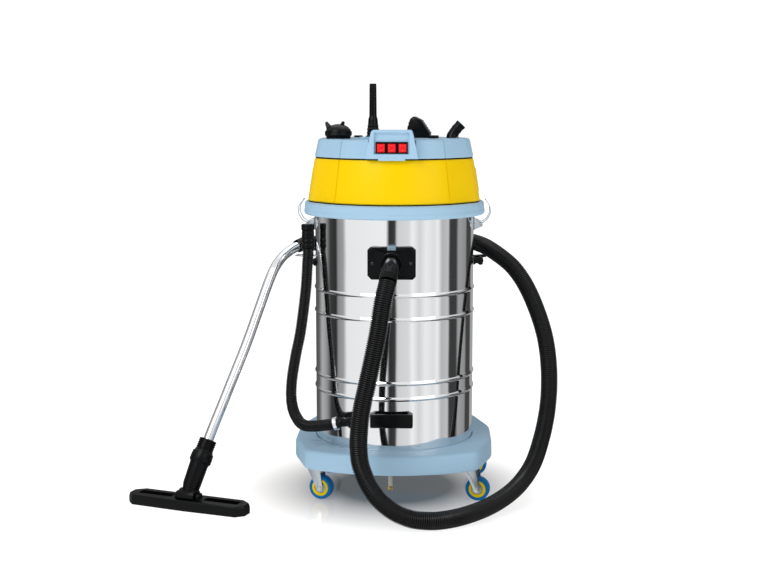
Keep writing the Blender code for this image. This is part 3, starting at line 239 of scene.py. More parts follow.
def ribbed_hose(name, points, crest, root, pitch, sides):
    """Blows a closed hose along a smooth line: rings stand wide on each rib and narrow between ribs."""
    line, length = flowing(points, 0.006)
    runs = [0.0]
    for a, b in zip(line, line[1:]):
        runs.append(runs[-1] + (b - a).length)
    ribs = round(runs[-1] / pitch)
    stations = []
    for rib in range(ribs):
        for share, radius in ((0.0, root), (0.14, root), (0.36, crest), (0.78, crest)):
            stations.append(((rib + share) / ribs, radius))
    stations.append((1.0, root))
    verts, faces, k = [], [], 0
    side = (line[1] - line[0]).orthogonal().normalized()
    before = (line[1] - line[0]).normalized()
    for share, radius in stations:
        want = share * runs[-1]
        while k < len(runs) - 2 and runs[k + 1] < want:
            k += 1
        at = line[k].lerp(line[k + 1], (want - runs[k]) / (runs[k + 1] - runs[k]))
        near = line[max(k - 1, 0)]
        ahead = (line[min(k + 2, len(line) - 1)] - near).normalized()
        side = before.rotation_difference(ahead) @ side
        before = ahead
        other = ahead.cross(side)
        for j in range(sides):
            a = math.tau * j / sides
            verts.append(at + (side * math.cos(a) + other * math.sin(a)) * radius)
    for i in range(len(stations) - 1):
        for j in range(sides):
            a, b = i * sides + j, i * sides + (j + 1) % sides
            faces.append((a, b, b + sides, a + sides))
    faces.append(tuple(range(sides))[::-1])
    last = (len(stations) - 1) * sides
    faces.append(tuple(range(last, last + sides)))
    mesh = bpy.data.meshes.new(name)
    mesh.from_pydata(verts, [], faces)
    mesh.shade_smooth()
    piece = bpy.data.objects.new(name, mesh)
    bpy.context.scene.collection.objects.link(piece)
    return piece, line, length


# Specular levels of the plastics, the hose's rib crowns and the groove floors; the groove floors' low shine is
# part of their painted shade.
PLASTIC_SHINE, HOSE_SHINE, SHADED_GROOVE_SHINE = 0.13, 0.24, 0.02


def finish_of(name, colour, roughness, metallic=0.0, mottle=0.0, grain_mm=1.0, relief=0.0):
    """A finish with its colour, a fine grain of the given size, and a roughness that wanders a little."""
    made = bpy.data.materials.new(name)
    made.use_nodes = True
    tree = made.node_tree
    body = tree.nodes["Principled BSDF"]
    body.inputs["Metallic"].default_value = metallic
    if not metallic:
        body.inputs["IOR"].default_value = 1.5
        body.inputs["Specular IOR Level"].default_value = PLASTIC_SHINE
    place = node(tree, "ShaderNodeTexCoord")
    handling = node(
        tree, "ShaderNodeTexNoise",
        {"Vector": place.outputs["Object"], "Scale": 14.0, "Detail": 4.0, "Roughness": 0.6},
    )
    wander = node(
        tree, "ShaderNodeMapRange",
        {"Value": handling.outputs["Fac"], "From Min": 0.3, "From Max": 0.7,
         "To Min": max(roughness - 0.35 * roughness, 0.02), "To Max": min(roughness * 1.3, 1.0)},
    )
    tree.links.new(wander.outputs[0], body.inputs["Roughness"])
    red, green, blue, _ = linear(colour)
    low = 1 - mottle
    shade = node(
        tree, "ShaderNodeMix",
        {0: handling.outputs["Fac"], "A": (red * low, green * low, blue * low, 1), "B": (red, green, blue, 1)},
        data_type="RGBA",
    )
    tree.links.new(shade.outputs["Result"], body.inputs["Base Color"])
    if relief:
        grain = node(
            tree, "ShaderNodeTexNoise",
            {"Vector": place.outputs["Object"], "Scale": 1000 / grain_mm, "Detail": 2.0},
        )
        bump = node(
            tree, "ShaderNodeBump",
            {"Strength": relief, "Distance": grain_mm / 4000, "Height": grain.outputs["Fac"]},
        )
        tree.links.new(bump.outputs[0], body.inputs["Normal"])
    return made


def fit(piece, body, material, slot, *stands_for):
    """Paints a piece, rides it on its body and lets it stand for its frame nodes."""
    piece.data.materials.clear()
    piece.data.materials.append(material)
    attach(piece, body)
    if stands_for:
        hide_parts(*stands_for)
    return piece


# Blown polyethylene: black, with a soft shine on each rib's crown. The floor of each groove is painted
# near-black and almost without shine: painted shade in the grooves.
BLOWN_HOSE = finish_of("blown_polyethylene_hose", "090A0C", 0.22, mottle=0.25, grain_mm=1.2, relief=0.15)

# The groove floor: near-black and almost without shine, painted shade in each groove.
HOSE_GROOVE_PAINTED_SHADE = finish_of("blown_hose_groove", "020202", 0.60, mottle=0.20)
for plastic, shine in ((BLOWN_HOSE, HOSE_SHINE), (HOSE_GROOVE_PAINTED_SHADE, SHADED_GROOVE_SHINE)):
    plastic.node_tree.nodes["Principled BSDF"].inputs["Specular IOR Level"].default_value = shine

suction, suction_line, suction_length = ribbed_hose(
    "suction_hose_ribbed", [SUCTION_START, *SUCTION_ROUTE], 0.0235, 0.0203, 0.0054, 24
)
fit(suction, "chassis", BLOWN_HOSE, "black_rubber", "suction_hose")


def paint_groove_shade(hose, sides):
    """Paints the floor of each groove darker and duller, a painted shade that makes the ribs stand out."""
    hose.data.materials.append(HOSE_GROOVE_PAINTED_SHADE)
    for k, face in enumerate(hose.data.polygons):
        face.material_index = int(k // sides % 4 == 0)


paint_groove_shade(suction, 24)


# --- Drain hose -------------------------------------------------------------
# The same ribbed hose in 31 mm. It hangs from its cuff under the head ring and turns into the outlet
# low on the drum, where a worm-drive band holds it.

DRAIN_TIP = Vector((-0.1420, -0.2215, 0.2350))
DRAIN_HEADING = Vector((-0.019, 0.003, -0.005)).normalized()
DRAIN_TOP = Vector((-0.2335, -0.0830, 0.6900))
DRAIN_ROUTE = [
    (-0.2330, -0.1890, 0.2185), (-0.2630, -0.1640, 0.240), (-0.2763, -0.1435, 0.279),
    (-0.2758, -0.1315, 0.332), (-0.2655, -0.1210, 0.400), (-0.2525, -0.1105, 0.467),
    (-0.2390, -0.0990, 0.576), (-0.2352, -0.0905, 0.640),
]
drain, drain_line, drain_length = ribbed_hose(
    "drain_hose_ribbed",
    [DRAIN_TIP + DRAIN_HEADING * 0.0003, DRAIN_TIP + DRAIN_HEADING * 0.022, *DRAIN_ROUTE,
     DRAIN_TOP - Vector((0, 0, 0.020)), DRAIN_TOP - Vector((0, 0, 0.0003))],
    0.0155, 0.0133, 0.0046, 20,
)
fit(drain, "chassis", BLOWN_HOSE, "black_rubber", "drain_hose")
paint_groove_shade(drain, 20)


# --- Base trolley -----------------------------------------------------------
# One injection-moulded polypropylene tray, barrel-shaped in plan, with a round well that the drum
# drops into. Its rim is rolled over and its corners are soft.


def eased_corner(here, before, after, reach, steps):
    """Points on the curve that rounds a corner, starting at the reach towards each neighbour."""
    one, two = here + (before - here).normalized() * reach, here + (after - here).normalized() * reach
    shares = [k / steps for k in range(steps + 1)]
    return [one * (1 - t) ** 2 + here * 2 * t * (1 - t) + two * t**2 for t in shares]


def barrel_outline(half_width, half_depth, corner, side_y, ease):
    """A plan with a bowed front and back and straight sides, its corners eased over a given reach."""
    sag = half_depth - corner[1]
    arc = (corner[0] ** 2 + sag**2) / (2 * sag)
    sweep = math.asin(corner[0] / arc)
    steps = 20
    front = []
    for k in range(steps + 1):
        angle = sweep * (2 * k / steps - 1)
        front.append((arc * math.sin(angle), -half_depth + arc * (1 - math.cos(angle))))
    front_kept = front[1:-1]
    hard = [front[-1], (half_width, -side_y), (half_width, side_y), (front[-1][0], -front[-1][1])]
    right = []
    chain = [front_kept[-1], *hard, (front_kept[-1][0], -front_kept[-1][1])]
    for before, here, after in zip(chain, chain[1:], chain[2:]):
        right += map(tuple, eased_corner(Vector(here), Vector(before), Vector(after), ease, 5))
    back = [(-x, -y) for x, y in front_kept]
    left = [(-x, -y) for x, y in right]
    return front_kept + right + back + left


def pick(*pieces):
    """Selects these pieces alone, with the first one active."""
    bpy.ops.object.select_all(action="DESELECT")
    for piece in pieces:
        piece.select_set(True)
    bpy.context.view_layer.objects.active = pieces[0]


def joined(parts, name):
    """Joins the pieces into the first one."""
    pick(*parts)
    bpy.ops.object.join()
    parts[0].name = name
    return parts[0]


def block(size, at=(0, 0, 0), turn=(0, 0, 0)):
    """A box with its place in its mesh."""
    bpy.ops.object.select_all(action="DESELECT")
    bpy.ops.mesh.primitive_cube_add(size=1, location=at, rotation=turn, scale=size)
    bpy.ops.object.transform_apply()
    return bpy.context.object


def box_between(low, high):
    """A box from one corner to the opposite one."""
    return block([b - a for a, b in zip(low, high)], [(a + b) / 2 for a, b in zip(low, high)])


def raised(name, outline, levels):
    """Fills a plan outline and pulls it up through levels, each a height and a share of its size."""
    bpy.ops.object.select_all(action="DESELECT")
    bpy.ops.mesh.primitive_circle_add(vertices=len(outline), radius=1, fill_type="NGON")
    piece = bpy.context.object
    piece.name = name
    height, share = levels[0]
    for vert, (x, y) in zip(piece.data.vertices, outline):
        vert.co = (x * share, y * share, height)
    bpy.ops.object.mode_set(mode="EDIT")
    bpy.ops.mesh.select_all(action="SELECT")
    for (low, was), (high, now) in zip(levels, levels[1:]):
        bpy.ops.mesh.extrude_region_move(TRANSFORM_OT_translate={"value": (0, 0, high - low)})
        bpy.ops.transform.resize(value=(now / was, now / was, 1), center_override=(0, 0, high))
    bpy.ops.mesh.select_all(action="SELECT")
    bpy.ops.mesh.normals_make_consistent(inside=False)
    bpy.ops.object.mode_set(mode="OBJECT")
    return piece


def smoothed(piece, degrees=35):
    pick(piece)
    bpy.ops.object.shade_smooth_by_angle(angle=math.radians(degrees))
    return piece


def modified(piece, kind, **settings):
    """Adds a modifier and applies it."""
    pick(piece)
    made = piece.modifiers.new(kind.lower(), kind)
    for name, value in settings.items():
        setattr(made, name, value)
    bpy.ops.object.modifier_apply(modifier=made.name)
    return piece


def cut_with(piece, cutter):
    """Takes the cutter's shape out of the piece, and removes the cutter."""
    modified(piece, "BOOLEAN", object=cutter, operation="DIFFERENCE", solver="EXACT")
    bpy.data.objects.remove(cutter, do_unlink=True)
    return piece


def round_bar(radius, depth, location, rotation=(0, 0, 0), sides=96):
    bpy.ops.object.select_all(action="DESELECT")
    bpy.ops.mesh.primitive_cylinder_add(
        vertices=sides, radius=radius, depth=depth, location=location, rotation=rotation
    )
    bpy.ops.object.transform_apply()
    return bpy.context.object


PALE_BLUE = finish_of(
    "moulded_pale_blue_polypropylene", "A9CDE6", 0.36, mottle=0.05, grain_mm=1.6, relief=0.12
)

base_low, base_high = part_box("base")
tray = raised(
    "base_tray",
    barrel_outline(base_high[0], base_high[1], (0.232, 0.220), 0.080, 0.019),
    [
        (base_low[2], 0.990), (base_low[2] + 0.0012, 0.9955), (base_low[2] + 0.004, 0.999),
        (base_low[2] + 0.009, 1.0), (base_high[2] - 0.012, 0.998), (base_high[2] - 0.006, 0.993),
        (base_high[2] - 0.0025, 0.984), (base_high[2] - 0.0006, 0.972), (base_high[2], 0.960),
    ],
)
well = round_bar(0.2215, 0.040, (0, 0, 0.160), sides=144)
cut_with(tray, well)
for low, high in (
    ((-0.158, -0.196, 0.090), (0.158, 0.196, 0.134)),
    ((-0.250, -0.070, 0.090), (0.250, 0.070, 0.134)),
):
    cut_with(tray, modified(box_between(low, high), "BEVEL", width=0.008, segments=3))
modified(tray, "BEVEL", width=0.0025, segments=3, limit_method="ANGLE", angle_limit=math.radians(50))
fit(smoothed(tray), "chassis", PALE_BLUE, "pale_blue", "base")


# --- Earth strap ------------------------------------------------------------
# A conducting strap that hangs from the tray and drains static to the floor, with a brass tip.


def eased(name, source, width, segments=2, degrees=35):
    """A copy of a frame node with its seams merged and its edges rounded."""
    mesh = nodes[source].data.copy()
    piece = bpy.data.objects.new(name, mesh)
    bpy.context.scene.collection.objects.link(piece)
    pick(piece)
    bpy.ops.object.mode_set(mode="EDIT")
    bpy.ops.mesh.select_all(action="SELECT")
    bpy.ops.mesh.remove_doubles(threshold=1e-5)
    bpy.ops.mesh.dissolve_limited(angle_limit=math.radians(0.6))
    bpy.ops.object.mode_set(mode="OBJECT")
    if mesh.has_custom_normals:
        bpy.ops.mesh.customdata_custom_splitnormals_clear()
    for edge in mesh.edges:
        edge.use_edge_sharp = False
    if width:
        modified(
            piece, "BEVEL", width=width, segments=segments, limit_method="ANGLE",
            angle_limit=math.radians(degrees), harden_normals=False,
        )
    return smoothed(piece, degrees)


STRAP_METAL = finish_of(
    "tinned_copper_braid", "C4C2B8", 0.42, metallic=0.9, mottle=0.2, grain_mm=0.9, relief=0.5
)
fit(eased("earth_strap_braid", "earth_strap", 0.0005), "chassis", STRAP_METAL, "strap", "earth_strap")
BRASS = finish_of("brass_tip", "B59A5A", 0.30, metallic=1.0, mottle=0.1)
strap_low, strap_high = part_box("earth_strap")
TIP_OVER, TIP_TALL = 0.0005, 0.010
tip = box_between(
    (strap_low[0] - TIP_OVER, strap_low[1] - TIP_OVER, strap_low[2]),
    (strap_high[0] + TIP_OVER, strap_high[1] + TIP_OVER, strap_low[2] + TIP_TALL),
)
tip.name = "earth_strap_tip"
fit(smoothed(modified(tip, "BEVEL", width=0.0008, segments=2)), "chassis", BRASS, "strap")


# --- Castors ----------------------------------------------------------------
# Pressed and zinc-plated swivel castors: a top plate with four bolts, two rows of balls, a fork, and
# a wheel with a yellow centre and a blue elastic tread on a plain axle bolt.

ZINC_PLATE = finish_of(
    "bright_zinc_plate", "C3CBD0", 0.27, metallic=1.0, mottle=0.12, grain_mm=1.4, relief=0.10
)
TREAD = finish_of("blue_elastic_rubber", "0E78BE", 0.48, mottle=0.10, grain_mm=0.9, relief=0.25)
WHEEL_CENTRE = finish_of("yellow_polypropylene", "FFE014", 0.40, mottle=0.05, grain_mm=1.2, relief=0.1)
HUB_CAP = finish_of("grey_axle_cap", "9FA9AE", 0.35, metallic=0.6, mottle=0.1)


def spun(name, outline, steps):
    """Draws a cross-section from (radius, height) points and spins it about Z into a smooth piece."""
    bpy.ops.object.select_all(action="DESELECT")
    bpy.ops.mesh.primitive_plane_add(size=0.001)
    piece = bpy.context.object
    piece.name = name
    bpy.ops.object.mode_set(mode="EDIT")
    bpy.ops.mesh.merge(type="CENTER")
    bpy.ops.transform.translate(value=(outline[0][0], 0, outline[0][1]))
    for (r, h), (next_r, next_h) in zip(outline, outline[1:]):
        bpy.ops.mesh.extrude_vertices_move(TRANSFORM_OT_translate={"value": (next_r - r, 0, next_h - h)})
    bpy.ops.mesh.select_all(action="SELECT")
    bpy.ops.mesh.spin(steps=steps, angle=math.tau, center=(0, 0, 0), axis=(0, 0, 1))
    bpy.ops.mesh.select_all(action="SELECT")
    bpy.ops.mesh.remove_doubles(threshold=2e-5)
    bpy.ops.mesh.select_all(action="SELECT")
    bpy.ops.mesh.normals_make_consistent(inside=False)
    bpy.ops.object.mode_set(mode="OBJECT")
    return smoothed(piece)


def facing(at, way):
    """The turn that points a piece's Z along a direction, at a place."""
    return Matrix.Translation(at) @ way.to_track_quat("Z", "Y").to_matrix().to_4x4()


def stood(piece, matrix):
    """Puts a piece in its place and writes the place into its mesh."""
    pick(piece)
    piece.matrix_world = matrix
    bpy.ops.object.transform_apply()
    return piece


def rounded(outline, radius, closed=True, steps=3, share=0.45):
    """Eases the corners of a line, each over the radius or that share of its shorter side."""
    out = []
    pts = [Vector(p) for p in outline]
    count = len(pts)
    for i, here in enumerate(pts):
        if not closed and i in (0, count - 1):
            out.append(tuple(here))
            continue
        before, after = pts[i - 1], pts[(i + 1) % count]
        reach = min(radius, (before - here).length * share, (after - here).length * share)
        out += map(tuple, eased_corner(here, before, after, reach, steps))
    if closed:
        out.append(out[0])
    return out


WHEEL_R, WHEEL_HALF, RIM_R, BOLT_REACH = 0.033, 0.0135, 0.0235, 0.0225
joint_at = {joint["name"]: joint for joint in frame["joints"]}


def both_halves(half):
    """A wheel's whole cross-section, from its outer face's half and that half mirrored."""
    return half + [(r, -h) for r, h in half[::-1]]


tread = both_halves([
    (RIM_R + 0.0002, -WHEEL_HALF + 0.0012), (0.0290, -WHEEL_HALF), (0.0316, -WHEEL_HALF + 0.0012),
    (WHEEL_R, -WHEEL_HALF + 0.0050),
])
centre = both_halves([
    (0.0046, -WHEEL_HALF), (0.0085, -WHEEL_HALF), (0.0095, -WHEEL_HALF + 0.0035),
    (0.0150, -WHEEL_HALF + 0.0040), (0.0168, -WHEEL_HALF + 0.0003), (RIM_R, -WHEEL_HALF + 0.0012),
])
disc = [(0.0096, -0.0003), (0.0149, -0.0003), (0.0149, 0.0006), (0.0096, 0.0012)]
for corner in ("front_left", "front_right", "rear_left", "rear_right"):
    fit(
        eased(f"castor_plate_{corner}_pressed", f"castor_plate_{corner}", 0.0006),
        "chassis", ZINC_PLATE, "zinc", f"castor_plate_{corner}",
    )
    fit(
        eased(f"castor_fork_{corner}_pressed", f"castor_fork_{corner}", 0.0006),
        f"castor_{corner}", ZINC_PLATE, "zinc", f"castor_fork_{corner}",
    )
    roll = joint_at[f"roll_{corner}"]
    where = facing(roll["pos_m"], Vector(roll["axis"]))
    wheel = f"wheel_{corner}"
    tyre = stood(spun(f"castor_tread_{corner}", rounded(tread, 0.0016), 64), where)
    fit(tyre, wheel, TREAD, "wheel_blue", f"castor_tyre_{corner}")
    rim = stood(spun(f"castor_centre_{corner}", rounded(centre, 0.0009), 64), where)
    fit(rim, wheel, WHEEL_CENTRE, "wheel_yellow", f"castor_rim_{corner}")
    # Grey dust discs close the recess round each end of the hub.
    for end in (-1, 1):
        flip = Matrix.Rotation(0 if end > 0 else math.pi, 4, "X")
        seat = where @ Matrix.Translation((0, 0, end * (WHEEL_HALF - 0.0036))) @ flip
        cap = stood(spun(f"castor_disc_{corner}_{'a' if end > 0 else 'b'}", rounded(disc, 0.0003), 48), seat)
        fit(cap, wheel, HUB_CAP, "zinc")
    # Four bolt heads hold the plate up against the tray.
    x, y, _ = joint_at[f"swivel_{corner}"]["pos_m"]
    heads = []
    for dx in (-1, 1):
        for dy in (-1, 1):
            spot = (x + dx * BOLT_REACH, y + dy * BOLT_REACH, base_low[2] - 0.0054)
            hexagon = round_bar(0.0048, 0.0032, spot, sides=6)
            heads.append(modified(hexagon, "BEVEL", width=0.0006, segments=2))
    fit(smoothed(joined(heads, f"castor_bolts_{corner}")), "chassis", ZINC_PLATE, "zinc")


# --- Drum -------------------------------------------------------------------
# Deep steel drum rolled from 1.5 mm stainless sheet and polished, with four rolled beads that
# stiffen it. The mirror finish waves a little, and fine polishing lines run round it.

DRUM_R, DRUM_WALL = 0.220, 0.0015
drum_low, drum_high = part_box("drum")


def bead(z):
    """A rolled bead's cross-section: one wave of a cosine, with a guard loop on either side."""
    half, out = 0.0068, 0.0032
    return [
        (DRUM_R + out * (0.5 + 0.5 * math.cos(math.pi * t)) * (1 if abs(t) < 1 else 0), z + half * t)
        for t in (-1.4, -1.0, -0.85, -0.68, -0.5, -0.3, -0.1, 0.1, 0.3, 0.5, 0.68, 0.85, 1.0, 1.4)
    ]


foot, rim, lining = drum_low[2], drum_high[2], DRUM_R - DRUM_WALL
side = [
    (0, foot), (DRUM_R - 0.014, foot), (DRUM_R - 0.008, foot + 0.0012), (DRUM_R - 0.003, foot + 0.005),
    (DRUM_R, foot + 0.012), (DRUM_R, foot + 0.015),
]
for z in (0.299, 0.341, 0.513, 0.577):
    side += bead(z)
side += [
    (DRUM_R, rim - 0.002), (DRUM_R, rim), (lining, rim), (lining, rim - 0.002), (lining, foot + 0.015),
    (lining, foot + 0.012), (DRUM_R - 0.010, foot + 0.003), (DRUM_R - 0.016, foot + DRUM_WALL),
    (0, foot + DRUM_WALL),
]
drum = spun("drum_rolled", side, 160)
POLISHED = bpy.data.materials.new("polished_stainless_steel")
POLISHED.use_nodes = True
tree = POLISHED.node_tree
skin = tree.nodes["Principled BSDF"]
skin.inputs["Base Color"].default_value = linear("EDEEEF")
skin.inputs["Metallic"].default_value = 1.0
skin.inputs["Roughness"].default_value = 0.055
place = node(tree, "ShaderNodeTexCoord")
stretch = node(tree, "ShaderNodeMapping", {"Vector": place.outputs["Object"], "Scale": (3.0, 3.0, 1.3)})
wave = node(tree, "ShaderNodeTexNoise", {"Vector": stretch.outputs[0], "Scale": 2.4, "Detail": 2.0})
lines = node(tree, "ShaderNodeMapping", {"Vector": place.outputs["Object"], "Scale": (6.0, 6.0, 900.0)})
polish = node(tree, "ShaderNodeTexNoise", {"Vector": lines.outputs[0], "Scale": 1.0, "Detail": 2.0})
waved = node(tree, "ShaderNodeBump", {"Strength": 0.22, "Distance": 0.004, "Height": wave.outputs["Fac"]})
lined = node(
    tree, "ShaderNodeBump",
    {"Strength": 0.04, "Distance": 0.0004, "Height": polish.outputs["Fac"], "Normal": waved.outputs[0]},
)
tree.links.new(lined.outputs[0], skin.inputs["Normal"])
fit(drum, "chassis", POLISHED, "stainless", "drum")


# --- Inlet ------------------------------------------------------------------
# A black ABS plate screwed over the drum's inlet, with a round collar that the hose cuff plugs into
# and a grey-blue button at the top that frees it.

BLACK_ABS = finish_of("moulded_black_abs", "08090B", 0.27, mottle=0.12, grain_mm=1.3, relief=0.10)
GREY_BLUE = finish_of("moulded_grey_blue_abs", "8FA6B4", 0.35, mottle=0.06)
SCREW_STEEL = finish_of("screw_steel", "4A4E52", 0.35, metallic=1.0, mottle=0.1)


def black(piece, body, *stands_for):
    return fit(piece, body, BLACK_ABS, "black_moulding", *stands_for)


black(eased("inlet_plate_moulded", "inlet_plate", 0.0022, 3, 30), "chassis", "inlet_plate")
fit(eased("inlet_latch_button", "inlet_latch", 0.0008), "inlet_button", GREY_BLUE, "grey_blue", "inlet_latch")
INLET_Z = 0.666
upright = Matrix.Rotation(math.pi / 2, 4, "X")
collar = [
    (0.0236, 0.232), (0.0312, 0.232), (0.0312, 0.2575), (0.0300, 0.2598), (0.0245, 0.2598),
    (0.0236, 0.2580),
]
lip = spun("inlet_collar_lip", rounded(collar, 0.0008), 72)
black(stood(lip, Matrix.Translation((0, 0, INLET_Z)) @ upright), "chassis")
for k, x in enumerate((-0.0500, 0.0500)):
    screw = [(0, 0), (0.0048, 0), (0.0048, 0.0008), (0.0036, 0.0020), (0, 0.0024)]
    head = spun(f"inlet_screw_{k + 1}", rounded(screw, 0.0004, closed=False), 32)
    for turned in (0, math.pi / 2):
        cut_with(head, block((0.0056, 0.0009, 0.0018), (0, 0, 0.0022), (0, 0, turned)))
    stood(smoothed(head), Matrix.Translation((x, -0.2349, INLET_Z)) @ upright)
    fit(head, "chassis", SCREW_STEEL, "zinc")


# --- Handle, pegs and brackets on the drum ------------------------------------
# Black ABS mouldings riveted to the drum: a pull handle low on the front, two round-ended pegs and
# the hose hook. The wand's bracket on the left is bent from chrome-plated strip.

black(eased("drum_handle_moulded", "drum_handle", 0.0016, 3), "chassis", "drum_handle")
for name, x_sign, z in (("peg_right", 1, 0.648), ("peg_left", -1, 0.642)):
    out = DRUM_R + 0.0004
    peg = [
        (0, out), (0.0115, out), (0.0115, out + 0.0042), (0.0080, out + 0.0062), (0.0080, out + 0.0120),
        (0.0122, out + 0.0165), (0.0125, out + 0.0200), (0.0110, out + 0.0255), (0, out + 0.0283),
    ]
    turned = spun(f"{name}_turned", rounded(peg, 0.0022, closed=False), 40)
    black(stood(turned, facing((0, 0, z), Vector((x_sign, 0, 0)))), "chassis", name)
black(eased("hose_hook_moulded", "hose_hook", 0.0016, 3), "chassis", "hose_hook")
CHROME = finish_of("chrome_plate", "E8EAEC", 0.07, metallic=1.0, mottle=0.03)
fit(eased("wand_hook_strip", "wand_hook", 0.0006), "chassis", CHROME, "chrome", "wand_hook")


# --- Latches ----------------------------------------------------------------
# Sprung wire bails pivot in folded zinc-plated catch plates and pull the head ring down on its seal.

for side_name, sign in (("left", -1), ("right", 1)):
    fit(
        eased(f"latch_catch_{side_name}_folded", f"latch_catch_{side_name}", 0.0006),
        "chassis", ZINC_PLATE, "zinc", f"latch_catch_{side_name}",
    )
    leg = [(0, 0), (0.018, 0.012), (0.0275, 0.030), (0.0255, 0.050), (0.0145, 0.0665)]
    path = [(0, 0.0150, 0), (0, 0.0230, 0)] + [(x, 0.025, z) for x, z in leg[1:]]
    path += [(x, -y, z) for x, y, z in path[::-1]]
    wire_line = rounded(path, 0.0035, closed=False, steps=4, share=0.4)
    place = Matrix.Translation((sign * 0.238, 0, 0.752)) @ Matrix.Rotation(0 if sign > 0 else math.pi, 4, "Z")
    curve = bpy.data.curves.new(f"latch_bail_{side_name}_wire", "CURVE")
    curve.dimensions = "3D"
    curve.bevel_depth = 0.0015
    curve.bevel_resolution = 4
    curve.use_fill_caps = True
    line = curve.splines.new("POLY")
    line.points.add(len(wire_line) - 1)
    for point, at in zip(line.points, wire_line):
        point.co = (*(place @ Vector(at)), 1)
    wire = bpy.data.objects.new(curve.name, curve)
    bpy.context.scene.collection.objects.link(wire)
    pick(wire)
    bpy.ops.object.convert(target="MESH")
    fit(smoothed(bpy.context.object), f"bail_{side_name}", CHROME, "chrome", f"latch_bail_{side_name}")


# --- Drain fittings ---------------------------------------------------------
# A moulded outlet elbow low on the drum, a worm-drive band over the hose, and at the hose's upper end
# a black cuff with a plug pushed into it.


def bent_pipe(name, points, radii, sides=32, bore=None):
    """Bends a round pipe along a line, with its own radius at each point, and closes it at both ends."""
    pts = [Vector(p) for p in points]
    verts, faces, rows = [], [], []
    before = (pts[1] - pts[0]).normalized()
    side = before.orthogonal().normalized()
    frames = []
    for i, at in enumerate(pts):
        ahead = (pts[min(i + 1, len(pts) - 1)] - pts[max(i - 1, 0)]).normalized()
        side = before.rotation_difference(ahead) @ side
        before = ahead
        frames.append((at, side.copy(), ahead.cross(side)))
    passes = [list(zip(frames, radii))]
    if bore:
        passes.append(list(zip(frames, bore))[::-1])
    for layer in passes:
        for (at, one, two), radius in layer:
            rows.append(len(verts))
            for j in range(sides):
                a = math.tau * j / sides
                verts.append(at + (one * math.cos(a) + two * math.sin(a)) * radius)
    pairs = list(zip(rows, rows[1:]))
    if bore:
        pairs.append((rows[-1], rows[0]))
    for low, high in pairs:
        for j in range(sides):
            faces.append((low + j, low + (j + 1) % sides, high + (j + 1) % sides, high + j))
    if not bore:
        faces.append(tuple(rows[0] + j for j in range(sides))[::-1])
        faces.append(tuple(rows[-1] + j for j in range(sides)))
    mesh = bpy.data.meshes.new(name)
    mesh.from_pydata(verts, [], faces)
    piece = bpy.data.objects.new(name, mesh)
    bpy.context.scene.collection.objects.link(piece)
    pick(piece)
    bpy.ops.object.mode_set(mode="EDIT")
    bpy.ops.mesh.select_all(action="SELECT")
    bpy.ops.mesh.normals_make_consistent(inside=False)
    bpy.ops.object.mode_set(mode="OBJECT")
    return smoothed(piece, 40)


DRAIN_SPOT, DRAIN_Z = math.radians(241), 0.236
out = Vector((math.cos(DRAIN_SPOT), math.sin(DRAIN_SPOT), 0))
wall = out * DRUM_R + Vector((0, 0, DRAIN_Z))
elbow, _ = flowing(
    [wall - out * 0.006, wall + out * 0.010, wall + out * 0.020 + DRAIN_HEADING * 0.006,
     DRAIN_TIP - DRAIN_HEADING * 0.010, DRAIN_TIP], 0.003
)
black(bent_pipe("drain_outlet_elbow", elbow, [0.0125] * len(elbow)), "chassis", "drain_spigot")
flange = [
    (0, -0.004), (0.0230, -0.004), (0.0230, 0.0045), (0.0215, 0.0060), (0.0150, 0.0060), (0.0135, 0.0085),
    (0, 0.0085),
]
flange_disc = spun("drain_outlet_flange", rounded(flange, 0.0010, closed=False), 56)
black(stood(flange_disc, facing(wall, out)), "chassis")
band = [
    (0.0163, 0), (0.0176, 0), (0.0180, 0.0010), (0.0176, 0.0020), (0.0176, 0.0080), (0.0180, 0.0090),
    (0.0176, 0.0100), (0.0163, 0.0100),
]
strip = spun("drain_clamp_band", rounded(band, 0.0003), 56)
stood(strip, facing(DRAIN_TIP + DRAIN_HEADING * 0.003, DRAIN_HEADING))
fit(strip, "chassis", CHROME, "chrome", "drain_clamp")
screw_case = modified(block((0.0045, 0.0130, 0.0084)), "BEVEL", width=0.0014, segments=3)
screw_case.name = "drain_clamp_screw_case"
CASE_TURN, CASE_OUT = math.radians(200), 0.0190
stood(
    smoothed(screw_case),
    facing(DRAIN_TIP + DRAIN_HEADING * 0.008, DRAIN_HEADING)
    @ Matrix.Rotation(CASE_TURN, 4, "Z") @ Matrix.Translation((CASE_OUT, 0, 0)),
)
fit(screw_case, "chassis", CHROME, "chrome")
top = Matrix.Translation(DRAIN_TOP)
cuff = [
    (0.0112, 0.0002), (0.0185, 0.0002), (0.0185, 0.0100), (0.0166, 0.0126), (0.0166, 0.0136),
    (0.0185, 0.0160), (0.0185, 0.0218), (0.0167, 0.0245), (0.0167, 0.0300), (0.0172, 0.0310),
    (0.0172, 0.0335), (0.0167, 0.0345), (0.0167, 0.0385), (0.0172, 0.0395), (0.0172, 0.0420),
    (0.0167, 0.0430), (0.0165, 0.0498), (0.0112, 0.0498),
]
black(stood(spun("drain_cuff_turned", rounded(cuff, 0.0008), 56), top), "chassis", "drain_cuff")
plug = [
    (0, 0.0300), (0.0100, 0.0300), (0.0100, 0.0506), (0.0182, 0.0506), (0.0182, 0.0560), (0.0174, 0.0572),
    (0.0182, 0.0584), (0.0182, 0.0635), (0.0165, 0.0658), (0, 0.0660),
]
stopper = spun("drain_plug_turned", rounded(plug, 0.0008, closed=False), 56)
black(stood(stopper, top), "drain_plug_loose", "drain_plug")


# --- Head -------------------------------------------------------------------
# Three polypropylene mouldings stacked on the drum: a pale blue ring with a rolled edge, the yellow
# motor housing, whose sides lean in, and the pale blue cover.

# The plan of the housing, the cover and the gaskets, as shares of half their width.
HEAD_PLAN = barrel_outline(1.0, 1.0, corner=(0.755, 0.66), side_y=0.34, ease=0.15)

